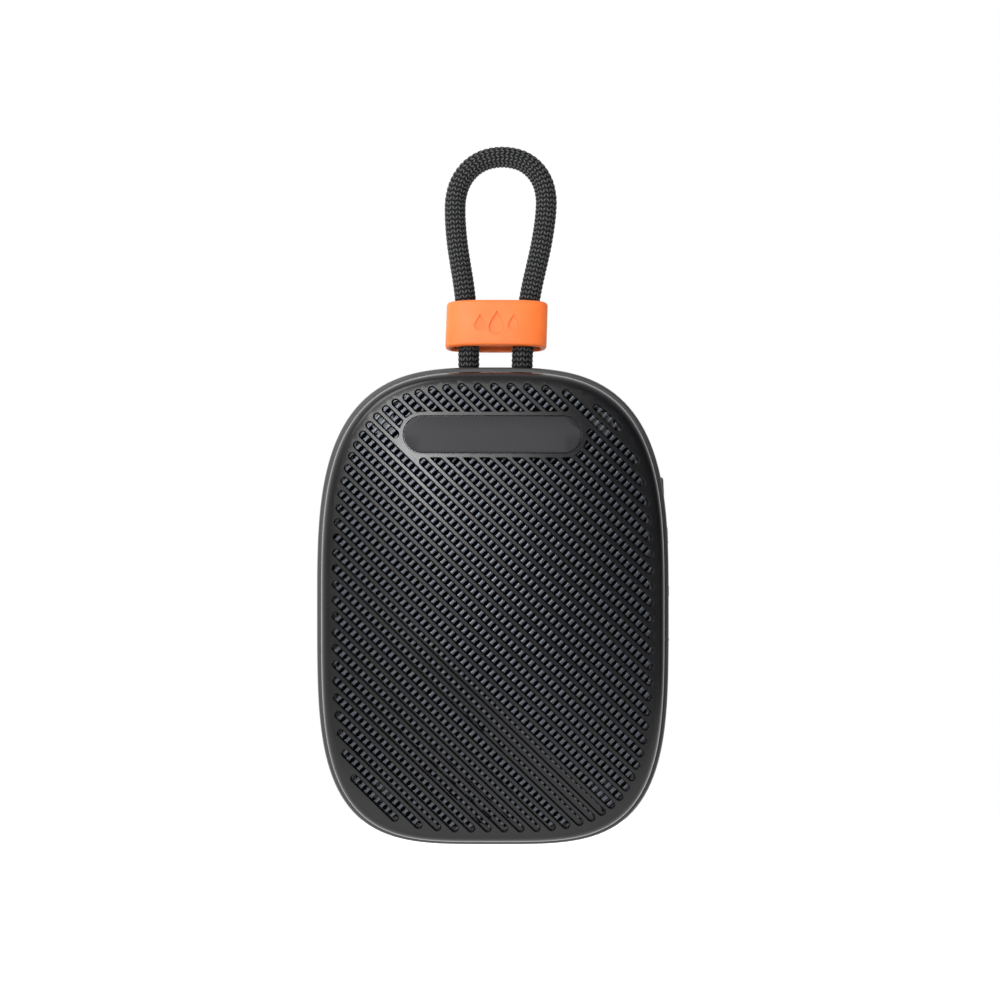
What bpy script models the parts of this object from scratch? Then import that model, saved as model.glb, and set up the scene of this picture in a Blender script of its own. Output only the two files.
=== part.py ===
"""Hang-up shower speaker: a palm-sized waterproof speaker that hangs by a cord loop with a silicone sleeve.

The speaker hangs upright. Its grille faces -Y, its back faces +Y and +Z is up. The world's origin is the
inside of the loop's top, where a hook holds it. All pieces of the housing are placed from the middle of the
housing's outline, on the plane where the front cover meets the rear shell.
Lengths below are in millimetres, and every mesh is scaled to metres as it is made.
"""

import math

import bmesh
import bpy
from mathutils import Matrix, Vector

MM = 0.001

# The housing: a superellipse outline, domed in front and rounded behind.
HALF_WIDTH = 40.75
HALF_HEIGHT = 55.25
SQUARENESS_ABOVE = 3.2  # the upper corners are a little rounder than the lower ones
SQUARENESS_BELOW = 3.75
OUTLINE_POINTS = 48
WALL = 1.8
PART_GAP = 0.15  # half the gap at the parting line
GAP = 0.3

# The front cover's face, whose slots stop short of its rounded rim.
COVER_INSET = 1.4
FACE_INSET = 3.9
FACE_RIM_Y = -8.0
CROWN = 2.4
CROWN_SHARES = (0.8, 0.5)
SLOT_ANGLE = math.radians(44.3)
SLOT_PITCH = 2.61
SLOT_COUNT = 39
SLOT_SHIFT = -0.31
SLOT_WIDTH = 1.95
SLOT_FLOOR_Y = -6.05
SHORTEST_SLOT = 1.4

# The blank badge plate near the top of the face.
BADGE_LENGTH = 40.5
BADGE_HEIGHT = 8.3
BADGE_Z = 39.4
BADGE_BORDER = 1.0
BADGE_FRONT_Y = -9.0
BADGE_THICK = 0.7
BADGE_SLOPE = 0.072  # the crown falls back this much per unit of height

# The fastening posts, in the four corners.
POST_X = 25.0
POST_Z = 42.0
SCREW_RADIUS = 0.95
SCREW_HOLE_RADIUS = 1.25
SCREW_SEAT_Y = 13.2

# The driver, in the lower half, and the four screws that hold its basket.
DRIVER_Z = -22.0
DRIVER_STEPS = 22
DRIVER_SCREW_CIRCLE = 24.0
DRIVER_SCREWS = [
    (DRIVER_SCREW_CIRCLE * math.cos(turn), DRIVER_Z + DRIVER_SCREW_CIRCLE * math.sin(turn))
    for turn in (math.radians(45 + 90 * quarter) for quarter in range(4))
]

# The main board's screws, in the upper half.
BOARD_SCREWS = [(-29.0, 30.0), (24.5, 30.0)]

# The rubber feet on the back.
FOOT_LENGTH = 36.0
FOOT_HEIGHT = 6.5
FOOT_Z = 30.0
FOOT_LOW = 16.6
FOOT_HIGH = 17.8

# The side of the rear shell, where the keys and the charging port are.
SIDE_Y = 5.5
STRIP_Z = 9.0
STRIP_LENGTH = 50.0
STRIP_WIDTH = 7.0
KEY_ZS = {"key_power": 26.0, "key_volume_up": 14.7, "key_play": 3.3, "key_volume_down": -8.0}
KEY_LENGTH = 7.6
KEY_WIDTH = 4.2
KEY_PROUD = 0.1
KEY_STEM_X = 35.9
LIGHT_Z = -14.1
PORT_Z = 9.5
FLAP_LENGTH = 20.4
FLAP_WIDTH = 6.8

# The loop. Its cords leave the top of the rear shell, and it leans back and a little to the right.
CORD_RADIUS = 2.5
EXIT_X = 0.6
EXIT_HALF_SPAN = 6.2
CORD_XS = (EXIT_X - EXIT_HALF_SPAN, EXIT_X + EXIT_HALF_SPAN)
EXIT_Y = 5.0
PIVOT_Z = 57.4
LEAN = math.radians(9.0)
SIDE_DRIFT = 0.033  # sideways lean, per unit of height above the pivot
SLEEVE_LOW = 2.3  # heights along the loop, above the pivot
SLEEVE_HIGH = 13.1
SLEEVE_WIDTH = 23.6
SLEEVE_DEPTH = 9.4
LOOP_INNER_TOP = 46.05

# Half of the loop's route: half the distance between the cords, and the height above the pivot.
LOOP_ROUTE = [
    (6.2, -14.4), (6.2, -11.0), (6.2, -7.0), (6.2, -3.4), (6.25, 0.4), (6.4, 4.4), (6.8, 8.8), (7.35, 13.1),
    (8.1, 18.0), (9.0, 22.7), (9.75, 26.8), (10.3, 30.8), (10.65, 34.9), (10.6, 38.7), (9.6, 42.5),
    (7.4, 45.7), (4.2, 47.8), (0.0, 48.55),
]  # fmt: skip
ROUTE_STEP = 4.2

HOUSING_FROM_HOOK = Vector(
    (
        -(EXIT_X + SIDE_DRIFT * LOOP_INNER_TOP),
        -(EXIT_Y + LOOP_INNER_TOP * math.sin(LEAN)),
        -(PIVOT_Z + LOOP_INNER_TOP * math.cos(LEAN)),
    )
)

# Colour, roughness and metallic value of each finish.
FINISHES = {
    "charcoal_plastic": ((0.055, 0.055, 0.06), 0.5, 0.0),
    "badge_satin": ((0.05, 0.05, 0.056), 0.42, 0.0),
    "orange_silicone": ((0.93, 0.29, 0.1), 0.55, 0.0),
    "black_braid": ((0.015, 0.015, 0.016), 0.85, 0.0),
    "dark_rubber": ((0.03, 0.03, 0.032), 0.7, 0.0),
    "inner_plastic": ((0.12, 0.12, 0.12), 0.6, 0.0),
    "steel": ((0.6, 0.6, 0.6), 0.35, 1.0),
    "ferrite": ((0.07, 0.07, 0.07), 0.6, 0.0),
    "paper_cone": ((0.04, 0.04, 0.04), 0.8, 0.0),
    "copper_coil": ((0.6, 0.27, 0.12), 0.4, 1.0),
    "board_green": ((0.02, 0.13, 0.06), 0.5, 0.0),
    "chip_black": ((0.02, 0.02, 0.02), 0.45, 0.0),
    "battery_wrap": ((0.35, 0.4, 0.45), 0.4, 0.0),
    "clear_lens": ((0.8, 0.85, 0.85), 0.2, 0.0),
    "acoustic_cloth": ((0.02, 0.02, 0.02), 0.9, 0.0),
}


for leftover in list(bpy.data.objects):
    bpy.data.objects.remove(leftover)

speaker = bpy.data.collections.new("shower_speaker")
cutters = bpy.data.collections.new("cutters")
bpy.context.scene.collection.children.link(speaker)
bpy.context.scene.collection.children.link(cutters)

housing_frame = bpy.data.objects.new("housing_frame", None)
housing_frame.location = HOUSING_FROM_HOOK * MM
speaker.objects.link(housing_frame)


def finish(name):
    """The material of this finish, made the first time that it is asked for."""
    if name in bpy.data.materials:
        return bpy.data.materials[name]
    colour, roughness, metallic = FINISHES[name]
    material = bpy.data.materials.new(name)
    material.use_nodes = True
    shader = material.node_tree.nodes["Principled BSDF"]
    shader.inputs["Base Color"].default_value = (*colour, 1.0)
    shader.inputs["Roughness"].default_value = roughness
    shader.inputs["Metallic"].default_value = metallic
    return material


def piece(name, bm, surface, origin=(0, 0, 0)):
    """Makes an object of a bmesh in millimetres, with its own origin at a point of the housing's frame."""
    bmesh.ops.remove_doubles(bm, verts=bm.verts, dist=1e-4)
    bmesh.ops.recalc_face_normals(bm, faces=bm.faces)
    bmesh.ops.translate(bm, vec=-Vector(origin), verts=bm.verts)
    bmesh.ops.scale(bm, vec=(MM, MM, MM), verts=bm.verts)
    mesh = bpy.data.meshes.new(name)
    bm.to_mesh(mesh)
    bm.free()
    mesh.shade_smooth()
    mesh.set_sharp_from_angle(angle=math.radians(35))
    mesh.materials.append(finish(surface))
    made = bpy.data.objects.new(name, mesh)
    made.parent = housing_frame
    made.location = Vector(origin) * MM
    speaker.objects.link(made)
    return made


def helper(name, bm):
    """Makes a cutter, or a block that is joined to another piece."""
    made = piece(name, bm, "inner_plastic")
    speaker.objects.unlink(made)
    cutters.objects.link(made)
    made.hide_render = True
    made.display_type = "WIRE"
    return made


def combine(target, other, operation="DIFFERENCE"):
    boolean = target.modifiers.new(other.name, "BOOLEAN")
    boolean.operation = operation
    boolean.solver = "EXACT"
    boolean.object = other
    return target


def squareness(z):
    return SQUARENESS_ABOVE if z > 0 else SQUARENESS_BELOW


def squareness_radius(x, z, half_width, half_height):
    """1 on the superellipse with these half sizes, less inside it and more outside."""
    power = squareness(z)
    return (abs(x / half_width) ** power + abs(z / half_height) ** power) ** (1 / power)


def outline(half_width, half_height, y):
    """A ring of the housing's superellipse, at a depth."""
    ring = []
    for step in range(OUTLINE_POINTS):
        turn = 2 * math.pi * (step + 0.5) / OUTLINE_POINTS
        across, up = math.cos(turn), math.sin(turn)
        bend = 2 / squareness(up)
        x = half_width * math.copysign(abs(across) ** bend, across)
        ring.append((x, y, half_height * math.copysign(abs(up) ** bend, up)))
    return ring


def inset_ring(inset, y):
    return outline(HALF_WIDTH - inset, HALF_HEIGHT - inset, y)


def loft(rings):
    """A closed solid through rings of equally many points, with a flat cap at each end."""
    bm = bmesh.new()
    loops = [[bm.verts.new(point) for point in ring] for ring in rings]
    for low, high in zip(loops, loops[1:]):
        for i in range(len(low)):
            bm.faces.new((low[i - 1], low[i], high[i], high[i - 1]))
    bm.faces.new(loops[0])
    bm.faces.new(loops[-1])
    return bm


def stadium(length, width, steps=6):
    """A flat outline with round ends, its length along the first axis."""
    radius, reach, points = width / 2, (length - width) / 2, []
    for end in (1, -1):
        for step in range(steps + 1):
            turn = math.pi * (step / steps - 0.5)
            points.append((end * (reach + radius * math.cos(turn)), end * radius * math.sin(turn)))
    return points


def circle(radius, steps=16):
    turns = [2 * math.pi * step / steps for step in range(steps)]
    return [(radius * math.cos(turn), radius * math.sin(turn)) for turn in turns]


def add_prism(bm, points, low, high, place):
    """Adds a prism to a bmesh. place turns its two flat coordinates and its height into a point."""
    face = bm.faces.new([bm.verts.new(place(u, v, low)) for u, v in points])
    top = bmesh.ops.extrude_face_region(bm, geom=[face])
    rise = Vector(place(0, 0, high)) - Vector(place(0, 0, low))
    verts = [item for item in top["geom"] if isinstance(item, bmesh.types.BMVert)]
    bmesh.ops.translate(bm, vec=rise, verts=verts)


def prism(points, low, high, place):
    bm = bmesh.new()
    add_prism(bm, points, low, high, place)
    return bm


def facing_front(x, z):
    """Places a prism that runs along Y, with its length along X."""
    return lambda u, v, w: (x + u, w, z + v)


def on_flank(z, y=SIDE_Y):
    """Places a prism that runs along X, with its length along Z."""
    return lambda u, v, w: (w, y + v, z + u)


def standing(x, y):
    """Places a prism that runs along Z, with its length along X."""
    return lambda u, v, w: (x + u, y + v, w)


def block(low, high):
    bm = bmesh.new()
    bmesh.ops.create_cube(bm, size=1.0)
    size = Vector(high) - Vector(low)
    bmesh.ops.scale(bm, vec=size, verts=bm.verts)
    bmesh.ops.translate(bm, vec=(Vector(low) + Vector(high)) / 2, verts=bm.verts)
    return bm


def softened(made, width, segments=2):
    bevel = made.modifiers.new("soft_edges", "BEVEL")
    bevel.width = width * MM
    bevel.segments = segments
    bevel.limit_method = "ANGLE"
    bevel.angle_limit = math.radians(40)
    return made


def turned(profile, x=0.0, z=0.0, steps=DRIVER_STEPS, closed=True):
    """A body turned about a line along Y. profile is a list of (radius, y)."""
    bm = bmesh.new()
    verts = [bm.verts.new((x + radius, y, z)) for radius, y in profile]
    edges = [bm.edges.new(pair) for pair in zip(verts, verts[1:])]
    if closed:
        edges.append(bm.edges.new((verts[-1], verts[0])))
    bmesh.ops.spin(
        bm,
        geom=verts + edges,
        cent=(x, 0, z),
        axis=(0, 1, 0),
        angle=2 * math.pi,
        steps=steps,
        use_merge=True,
        use_duplicate=False,
    )
    return bm


def rod(x, z, radius, low, high, steps=16):
    return prism(circle(radius, steps), low, high, facing_front(x, z))


def rods(places, radius, low, high, steps=16):
    """Several equal rods along Y in one bmesh."""
    bm = bmesh.new()
    for x, z in places:
        add_prism(bm, circle(radius, steps), low, high, facing_front(x, z))
    return bm


POSTS = [(x, z) for z in (POST_Z, -POST_Z) for x in (-POST_X, POST_X)]


# The front cover: a domed shell with a field of diagonal slots.


def slot_spans():
    """Each slot's (start, end) on the cover's face, clear of the rim and of the badge plate."""
    run = Vector((math.cos(SLOT_ANGLE), -math.sin(SLOT_ANGLE)))
    side = Vector((math.sin(SLOT_ANGLE), math.cos(SLOT_ANGLE)))
    rim_width = HALF_WIDTH - FACE_INSET - SLOT_WIDTH / 2
    rim_height = HALF_HEIGHT - FACE_INSET - SLOT_WIDTH / 2
    badge_reach = (BADGE_LENGTH - BADGE_HEIGHT) / 2
    keep_out = BADGE_HEIGHT / 2 + BADGE_BORDER + SLOT_WIDTH / 2
    step = 0.05

    def is_open(point):
        if squareness_radius(point.x, point.y, rim_width, rim_height) > 1:
            return False
        along = max(-badge_reach, min(badge_reach, point.x))
        return (point - Vector((along, BADGE_Z))).length > keep_out

    for index in range(SLOT_COUNT):
        middle = side * (SLOT_SHIFT + (index - (SLOT_COUNT - 1) / 2) * SLOT_PITCH)
        count = int(HALF_HEIGHT / step)
        start = None
        for tick in range(-count, count + 1):
            point = middle + run * (tick * step)
            if is_open(point) and start is None:
                start = point
            elif start is not None and not is_open(point):
                if (point - start).length > SHORTEST_SLOT:
                    yield start, point
                start = None


def crown_ring(share, wall=0.0):
    """A ring of the crowned face, or of its inner side."""
    y = FACE_RIM_Y - CROWN * (1 - share**2) + wall
    return outline(share * (HALF_WIDTH - FACE_INSET), share * (HALF_HEIGHT - FACE_INSET), y)


def on_badge(u, v, w):
    return (u, w + BADGE_SLOPE * v, BADGE_Z + v)


def make_front_cover():
    outer = [
        inset_ring(COVER_INSET, -PART_GAP),
        inset_ring(COVER_INSET, -4.4),
        inset_ring(COVER_INSET + 0.25, -5.9),
        inset_ring(COVER_INSET + 0.95, -7.1),
        inset_ring(FACE_INSET, FACE_RIM_Y),
        *[crown_ring(share) for share in CROWN_SHARES],
    ]
    inner = [
        *[crown_ring(share, WALL) for share in reversed(CROWN_SHARES)],
        inset_ring(COVER_INSET + WALL + 1.65, FACE_RIM_Y + WALL),
        inset_ring(COVER_INSET + WALL + 0.45, -5.7),
        inset_ring(COVER_INSET + WALL, -4.4),
        inset_ring(COVER_INSET + WALL, -PART_GAP),
    ]
    shell = inner + outer
    cover = piece("front_cover", loft(shell), "charcoal_plastic")
    posts = helper("cover_posts", rods(POSTS, 2.7, -7.4, 0.6))
    combine(cover, posts, "UNION")
    combine(cover, helper("cover_post_holes", rods(POSTS, SCREW_HOLE_RADIUS, -5.4, 1.0, 12)))
    slots = bmesh.new()
    for start, end in slot_spans():
        middle, length = (start + end) / 2, (end - start).length
        flat = Matrix.Rotation(-SLOT_ANGLE, 2)
        points = [middle + flat @ Vector(point) for point in stadium(length + SLOT_WIDTH, SLOT_WIDTH, 2)]
        add_prism(slots, points, -14.0, SLOT_FLOOR_Y, facing_front(0, 0))
    combine(cover, helper("slots", slots))
    pocket = stadium(BADGE_LENGTH + 2 * GAP, BADGE_HEIGHT + 2 * GAP)
    low = BADGE_FRONT_Y + BADGE_THICK + GAP
    combine(cover, helper("badge_pocket", prism(pocket, -12.0, low, on_badge)))


def make_badge_plate():
    plate = stadium(BADGE_LENGTH, BADGE_HEIGHT, 10)
    bm = prism(plate, BADGE_FRONT_Y, BADGE_FRONT_Y + BADGE_THICK, on_badge)
    softened(piece("badge_plate", bm, "badge_satin", (0, BADGE_FRONT_Y, BADGE_Z)), 0.2)


def make_sheet(name, surface, inset, low, high, post_radius):
    """A flat plate that fills the housing's outline, with holes for the posts."""
    sheet = piece(name, loft([inset_ring(inset, low), inset_ring(inset, high)]), surface)
    return combine(sheet, helper(f"{name}_post_holes", rods(POSTS, post_radius, low - 3, high + 3)))


def make_baffle():
    """The inner plate that carries the driver, and two posts for the main board."""
    baffle = make_sheet("baffle_plate", "inner_plastic", COVER_INSET + WALL + 0.6, -5.2, -3.6, 3.1)
    combine(baffle, helper("driver_hole", rod(0, DRIVER_Z, 21.0, -7.0, -2.0, 24)))
    combine(baffle, helper("board_posts", rods(BOARD_SCREWS, 2.0, -4.4, 2.1, 12)), "UNION")
    combine(baffle, helper("board_post_holes", rods(BOARD_SCREWS, 1.1, -2.6, 2.6, 12)))
    combine(baffle, helper("driver_screw_holes", rods(DRIVER_SCREWS, 1.05, -7.0, -2.0, 12)))


def make_seal():
    outside = COVER_INSET + WALL + GAP
    inside = outside + 0.7
    corners = [(inside, -0.9), (outside, -0.9), (outside, 0.9), (inside, 0.9)]
    rings = [inset_ring(*corner) for corner in corners]
    bm = bmesh.new()
    loops = [[bm.verts.new(point) for point in ring] for ring in rings]
    for low, high in zip(loops, loops[1:] + loops[:1]):
        for i in range(OUTLINE_POINTS):
            bm.faces.new((low[i - 1], low[i], high[i], high[i - 1]))
    piece("housing_seal", bm, "dark_rubber")


# The rear shell, with the pockets for the keys, the port, the feet and the screws.


def shell_rings():
    outer = [
        (0.5, PART_GAP), (0.1, 1.2), (0.0, 2.6), (0.0, 6.0), (0.5, 9.2), (2.0, 12.4), (4.6, 15.0),
        (8.2, 16.5), (12.5, 17.0),
    ]  # fmt: skip
    inner = [
        (13.0, 15.2), (9.2, 15.0), (6.2, 14.0), (3.9, 12.0), (2.3, 9.0), (WALL, 6.0), (WALL, 2.6),
        (2.2, PART_GAP),
    ]  # fmt: skip
    return [inset_ring(*station) for station in inner + outer]


def flank_x(z):
    """Half the housing's width at a height."""
    power = squareness(z)
    return HALF_WIDTH * (1 - abs(z / HALF_HEIGHT) ** power) ** (1 / power)


def make_rear_shell():
    shell = piece("rear_shell", loft(shell_rings()), "charcoal_plastic")
    combine(shell, helper("shell_bosses", rods(POSTS, 3.1, 1.0, 15.2)), "UNION")
    combine(shell, helper("port_well", block((-39.4, 1.6, -1.9), (-34.9, 9.4, 20.9))), "UNION")
    combine(shell, helper("boss_holes", rods(POSTS, SCREW_HOLE_RADIUS, 0.0, 14.0, 12)))
    combine(shell, helper("counterbores", rods(POSTS, 2.3, 12.9, 19.0)))
    strip = stadium(STRIP_LENGTH + 2 * GAP, STRIP_WIDTH + 2 * GAP)
    combine(shell, helper("strip_window", prism(strip, 34.5, 45.0, on_flank(STRIP_Z))))
    flap = stadium(FLAP_LENGTH + 2 * GAP, FLAP_WIDTH + 2 * GAP)
    combine(shell, helper("flap_pocket", prism(flap, -45.0, -38.1, on_flank(PORT_Z))))
    combine(shell, helper("plug_recess", prism(stadium(13.0, 6.9), -45.0, -37.2, on_flank(PORT_Z))))
    combine(shell, helper("port_mouth", prism(stadium(9.54, 3.8), -45.0, -30.0, on_flank(PORT_Z))))
    for side, z in (("upper", FOOT_Z), ("lower", -FOOT_Z)):
        seat = stadium(FOOT_LENGTH + 2 * GAP, FOOT_HEIGHT + 2 * GAP)
        combine(shell, helper(f"{side}_foot_seat", prism(seat, FOOT_LOW - GAP, 20.0, facing_front(0, z))))
    exits = bmesh.new()
    for x in CORD_XS:
        add_prism(exits, circle(CORD_RADIUS + GAP), 50.0, 60.0, standing(x, EXIT_Y))
    combine(shell, helper("cord_exits", exits))


def make_feet():
    for side, z in (("upper", FOOT_Z), ("lower", -FOOT_Z)):
        bm = prism(stadium(FOOT_LENGTH, FOOT_HEIGHT, 8), FOOT_LOW, FOOT_HIGH, facing_front(0, z))
        softened(piece(f"rear_foot_{side}", bm, "dark_rubber", (0, FOOT_LOW, z)), 0.3)


def make_housing_screws():
    """Pan-head screws in the rear shell's counterbores, which bite in the front cover's posts."""
    tip = [(0, -4.6), (SCREW_RADIUS, -4.2)]
    head = [(2.0, SCREW_SEAT_Y), (2.0, 14.3), (1.4, 14.9), (0, 14.9)]
    for number, (x, z) in enumerate(POSTS, 1):
        profile = [*tip, (SCREW_RADIUS, SCREW_SEAT_Y), *head]
        screw = turned(profile, x, z, 14, False)
        piece(f"housing_screw_{number}", screw, "steel", (x, SCREW_SEAT_Y, z))


def skin_piece(name, surface, window, low, high, place, origin=(0, 0, 0)):
    """A piece of the rear shell's own skin, so that it lies flush in the shell's window."""
    made = piece(name, loft(shell_rings()), surface, origin)
    return combine(made, helper(f"{name}_outline", prism(window, low, high, place)), "INTERSECT")


def make_keys():
    """The strip on the right flank, its four keys and the switches behind them."""
    strip = skin_piece(
        "control_strip", "dark_rubber", stadium(STRIP_LENGTH, STRIP_WIDTH, 8), 34.5, 45.0, on_flank(STRIP_Z)
    )
    windows = bmesh.new()
    for z in KEY_ZS.values():
        add_prism(windows, stadium(KEY_LENGTH + 2 * GAP, KEY_WIDTH + 2 * GAP), 30.0, 45.0, on_flank(z))
    combine(strip, helper("key_windows", windows))
    combine(strip, helper("light_window", prism(circle(1.0, 12), 30.0, 45.0, on_flank(LIGHT_Z))))
    for number, (name, z) in enumerate(KEY_ZS.items(), 1):
        face = flank_x(z)
        key = prism(stadium(KEY_LENGTH, KEY_WIDTH, 8), face - WALL - 1.5, face + KEY_PROUD, on_flank(z))
        cap = softened(piece(name, key, "dark_rubber", (face, SIDE_Y, z)), 0.35)
        flange = stadium(KEY_LENGTH + 1.6, KEY_WIDTH + 1.6)
        rim = prism(flange, face - WALL - 1.8, face - WALL - 1.2, on_flank(z))
        combine(cap, helper(f"{name}_rim", rim), "UNION")
        stem = prism(circle(1.5, 12), KEY_STEM_X, face - WALL - 1.6, on_flank(z))
        combine(cap, helper(f"{name}_stem", stem), "UNION")
        case = block((33.4, 3.9, z - 2.1), (34.9, 7.1, z + 2.1))
        switch = piece(f"tact_switch_{number}", case, "chip_black")
        plunger = prism(circle(0.9, 10), 34.5, 35.4, on_flank(z))
        combine(switch, helper(f"plunger_{number}", plunger), "UNION")
    piece("button_board", block((32.0, 1.6, -15.0), (33.1, 9.4, 31.0)), "board_green")
    pipe = prism(circle(0.7, 12), 33.6, flank_x(LIGHT_Z) + 0.05, on_flank(LIGHT_Z))
    piece("light_pipe", pipe, "clear_lens")


def make_port():
    """The charging socket and the hinged flap that keeps water out of it."""
    low = PORT_Z - FLAP_LENGTH / 2
    hinge = (-flank_x(low), SIDE_Y, low)
    window = stadium(FLAP_LENGTH, FLAP_WIDTH, 8)
    flap = skin_piece("port_flap", "dark_rubber", window, -45.0, -36.0, on_flank(PORT_Z), hinge)
    boss = prism(stadium(11.0, 5.0), -39.4, -37.9, on_flank(PORT_Z))
    combine(flap, helper("flap_plug", boss), "UNION")
    socket = piece("usb_socket", prism(stadium(8.94, 3.2, 6), -36.6, -29.4, on_flank(PORT_Z)), "steel")
    combine(socket, helper("socket_mouth", prism(stadium(8.3, 2.5, 6), -38.0, -31.0, on_flank(PORT_Z))))
    tongue = block((-36.2, SIDE_Y - 0.35, PORT_Z - 3.3), (-30.5, SIDE_Y + 0.35, PORT_Z + 3.3))
    combine(socket, helper("socket_tongue", tongue), "UNION")


# The driver: basket, moving cone and coil, and magnet.


def make_driver():
    basket = [
        (26.0, -3.3), (26.0, -2.1), (22.6, -2.1), (15.2, 3.4), (15.2, 4.2), (7.6, 4.2), (7.6, 3.2),
        (14.0, 3.2), (21.0, -2.1), (20.3, -3.3),
    ]  # fmt: skip
    frame = piece("driver_basket", turned(basket, z=DRIVER_Z), "steel")
    windows = bmesh.new()
    for quarter in range(4):
        turn = math.radians(90 * quarter)
        points = [(16.0, -5.0), (24.0, -5.0), (24.0, 5.0), (16.0, 5.0)]
        spun = [Matrix.Rotation(turn, 2) @ Vector(point) for point in points]
        add_prism(windows, spun, -1.5, 2.6, facing_front(0, DRIVER_Z))
    combine(frame, helper("basket_windows", windows))
    combine(frame, helper("basket_screw_holes", rods(DRIVER_SCREWS, 1.05, -5.0, 0.0, 12)))
    for number, (x, z) in enumerate(DRIVER_SCREWS, 1):
        profile = [(0, -4.9), (0.75, -4.6), (0.75, -1.8), (1.6, -1.8), (1.6, -0.9), (1.1, -0.5), (0, -0.5)]
        piece(f"driver_screw_{number}", turned(profile, x, z, 12, False), "steel", (x, -1.8, z))

    half_roll = [math.pi * step / 5 for step in range(6)]
    roll = [(18.1 + 1.5 * math.cos(turn), -3.7 - 1.25 * math.sin(turn)) for turn in half_roll]
    under = [(18.1 + 1.15 * math.cos(turn), -3.6 - 0.95 * math.sin(turn)) for turn in reversed(half_roll)]
    surround = [(20.8, -3.6), (20.8, -3.95)] + roll[1:-1] + [(15.5, -3.95), (15.5, -3.6)] + under
    piece("driver_surround", turned(surround, z=DRIVER_Z), "dark_rubber")

    cone = [(16.4, -3.3), (16.4, -2.8), (11.5, -0.5), (7.0, 1.1), (6.6, 1.1), (6.6, 0.65), (11.2, -1.0)]
    piece("driver_cone", turned(cone, z=DRIVER_Z), "paper_cone", (0, 0, DRIVER_Z))
    dome = [math.radians(60) * step / 4 for step in range(5)]
    outside = [(7.3 * math.sin(turn), 4.3 - 6.9 * math.cos(turn)) for turn in dome]
    inside = [(6.9 * math.sin(turn), 4.3 - 6.5 * math.cos(turn)) for turn in reversed(dome)]
    cap = turned(outside + inside, z=DRIVER_Z, steps=16, closed=False)
    piece("driver_dust_cap", cap, "paper_cone", (0, 0, DRIVER_Z))
    coil = [(5.9, 1.35), (6.3, 1.35), (6.3, 6.8), (5.9, 6.8)]
    piece("driver_voice_coil", turned(coil, z=DRIVER_Z), "copper_coil", (0, 0, DRIVER_Z))

    waves = [(6.7 + 1.15 * step, 2.0 + 0.3 * math.cos(step * math.pi)) for step in range(7)]
    spider = waves + [(radius, y + 0.3) for radius, y in reversed(waves)]
    piece("driver_spider", turned(spider, z=DRIVER_Z), "acoustic_cloth")
    rings = {
        "driver_top_plate": ([(6.9, 4.5), (13.0, 4.5), (13.0, 6.3), (6.9, 6.3)], "steel"),
        "driver_magnet": ([(8.2, 6.6), (13.0, 6.6), (13.0, 10.2), (8.2, 10.2)], "ferrite"),
    }
    for name, (profile, surface) in rings.items():
        piece(name, turned(profile, z=DRIVER_Z), surface)
    yoke = [(0, 4.6), (5.4, 4.6), (5.4, 10.5), (13.0, 10.5), (13.0, 12.3), (0, 12.3)]
    piece("driver_yoke", turned(yoke, z=DRIVER_Z, closed=False), "steel")


# The electronics, in the upper half.


def make_electronics():
    board = piece("main_board", block((-31.0, 2.4, 4.6), (27.0, 3.6, 38.0)), "board_green")
    combine(board, helper("board_screw_holes", rods(BOARD_SCREWS, 1.1, 0.0, 6.0, 12)))
    for number, (x, z) in enumerate(BOARD_SCREWS, 1):
        profile = [(0, -2.0), (0.8, -1.7), (0.8, 3.9), (1.7, 3.9), (1.7, 4.8), (1.2, 5.2), (0, 5.2)]
        piece(f"board_screw_{number}", turned(profile, x, z, 12, False), "steel", (x, 3.9, z))
    chips = {
        "amplifier_chip": ((2.0, 3.9, 15.0), (9.0, 4.9, 22.0)),
        "radio_module": ((-24.0, 3.9, 19.0), (-8.0, 5.7, 31.0)),
        "charge_chip": ((-22.0, 3.9, 8.0), (-17.0, 4.8, 13.0)),
    }
    for name, corners in chips.items():
        piece(name, block(*corners), "chip_black")
    softened(piece("battery", block((-26.0, -2.2, 5.0), (21.0, 1.8, 38.0)), "battery_wrap"), 1.2)
    piece("battery_pad", block((-24.0, -3.3, 7.0), (19.0, -2.5, 36.0)), "dark_rubber")


def smooth_route(points, step):
    """Evenly spaced points on a Catmull-Rom curve through the given ones."""
    ends = [2 * points[0] - points[1], *points, 2 * points[-1] - points[-2]]
    fine = []
    for a, b, c, d in zip(ends, ends[1:], ends[2:], ends[3:]):
        for tick in range(24):
            t = tick / 24
            bend = (2 * a - 5 * b + 4 * c - d) * t * t + (3 * b - a - 3 * c + d) * t**3
            fine.append((2 * b + (c - a) * t + bend) / 2)
    fine.append(points[-1])
    lengths = [0.0]
    for a, b in zip(fine, fine[1:]):
        lengths.append(lengths[-1] + (b - a).length)
    count = round(lengths[-1] / step)
    even, index = [], 0
    for number in range(count + 1):
        want = lengths[-1] * number / count
        while index < len(fine) - 2 and lengths[index + 1] < want:
            index += 1
        part = (want - lengths[index]) / max(lengths[index + 1] - lengths[index], 1e-9)
        even.append(fine[index].lerp(fine[index + 1], min(part, 1.0)))
    return even


def tube(name, points, radius, surface, bevel_resolution=2):
    """A cord or a wire: a bevelled curve through points in the housing's frame."""
    curve = bpy.data.curves.new(name, "CURVE")
    curve.dimensions = "3D"
    curve.bevel_depth = radius * MM
    curve.bevel_resolution = bevel_resolution
    curve.use_fill_caps = True
    spline = curve.splines.new("POLY")
    spline.points.add(len(points) - 1)
    for place, point in zip(spline.points, points):
        place.co = (*(point * MM), 1.0)
    curve.materials.append(finish(surface))
    made = bpy.data.objects.new(name, curve)
    made.parent = housing_frame
    speaker.objects.link(made)


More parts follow.
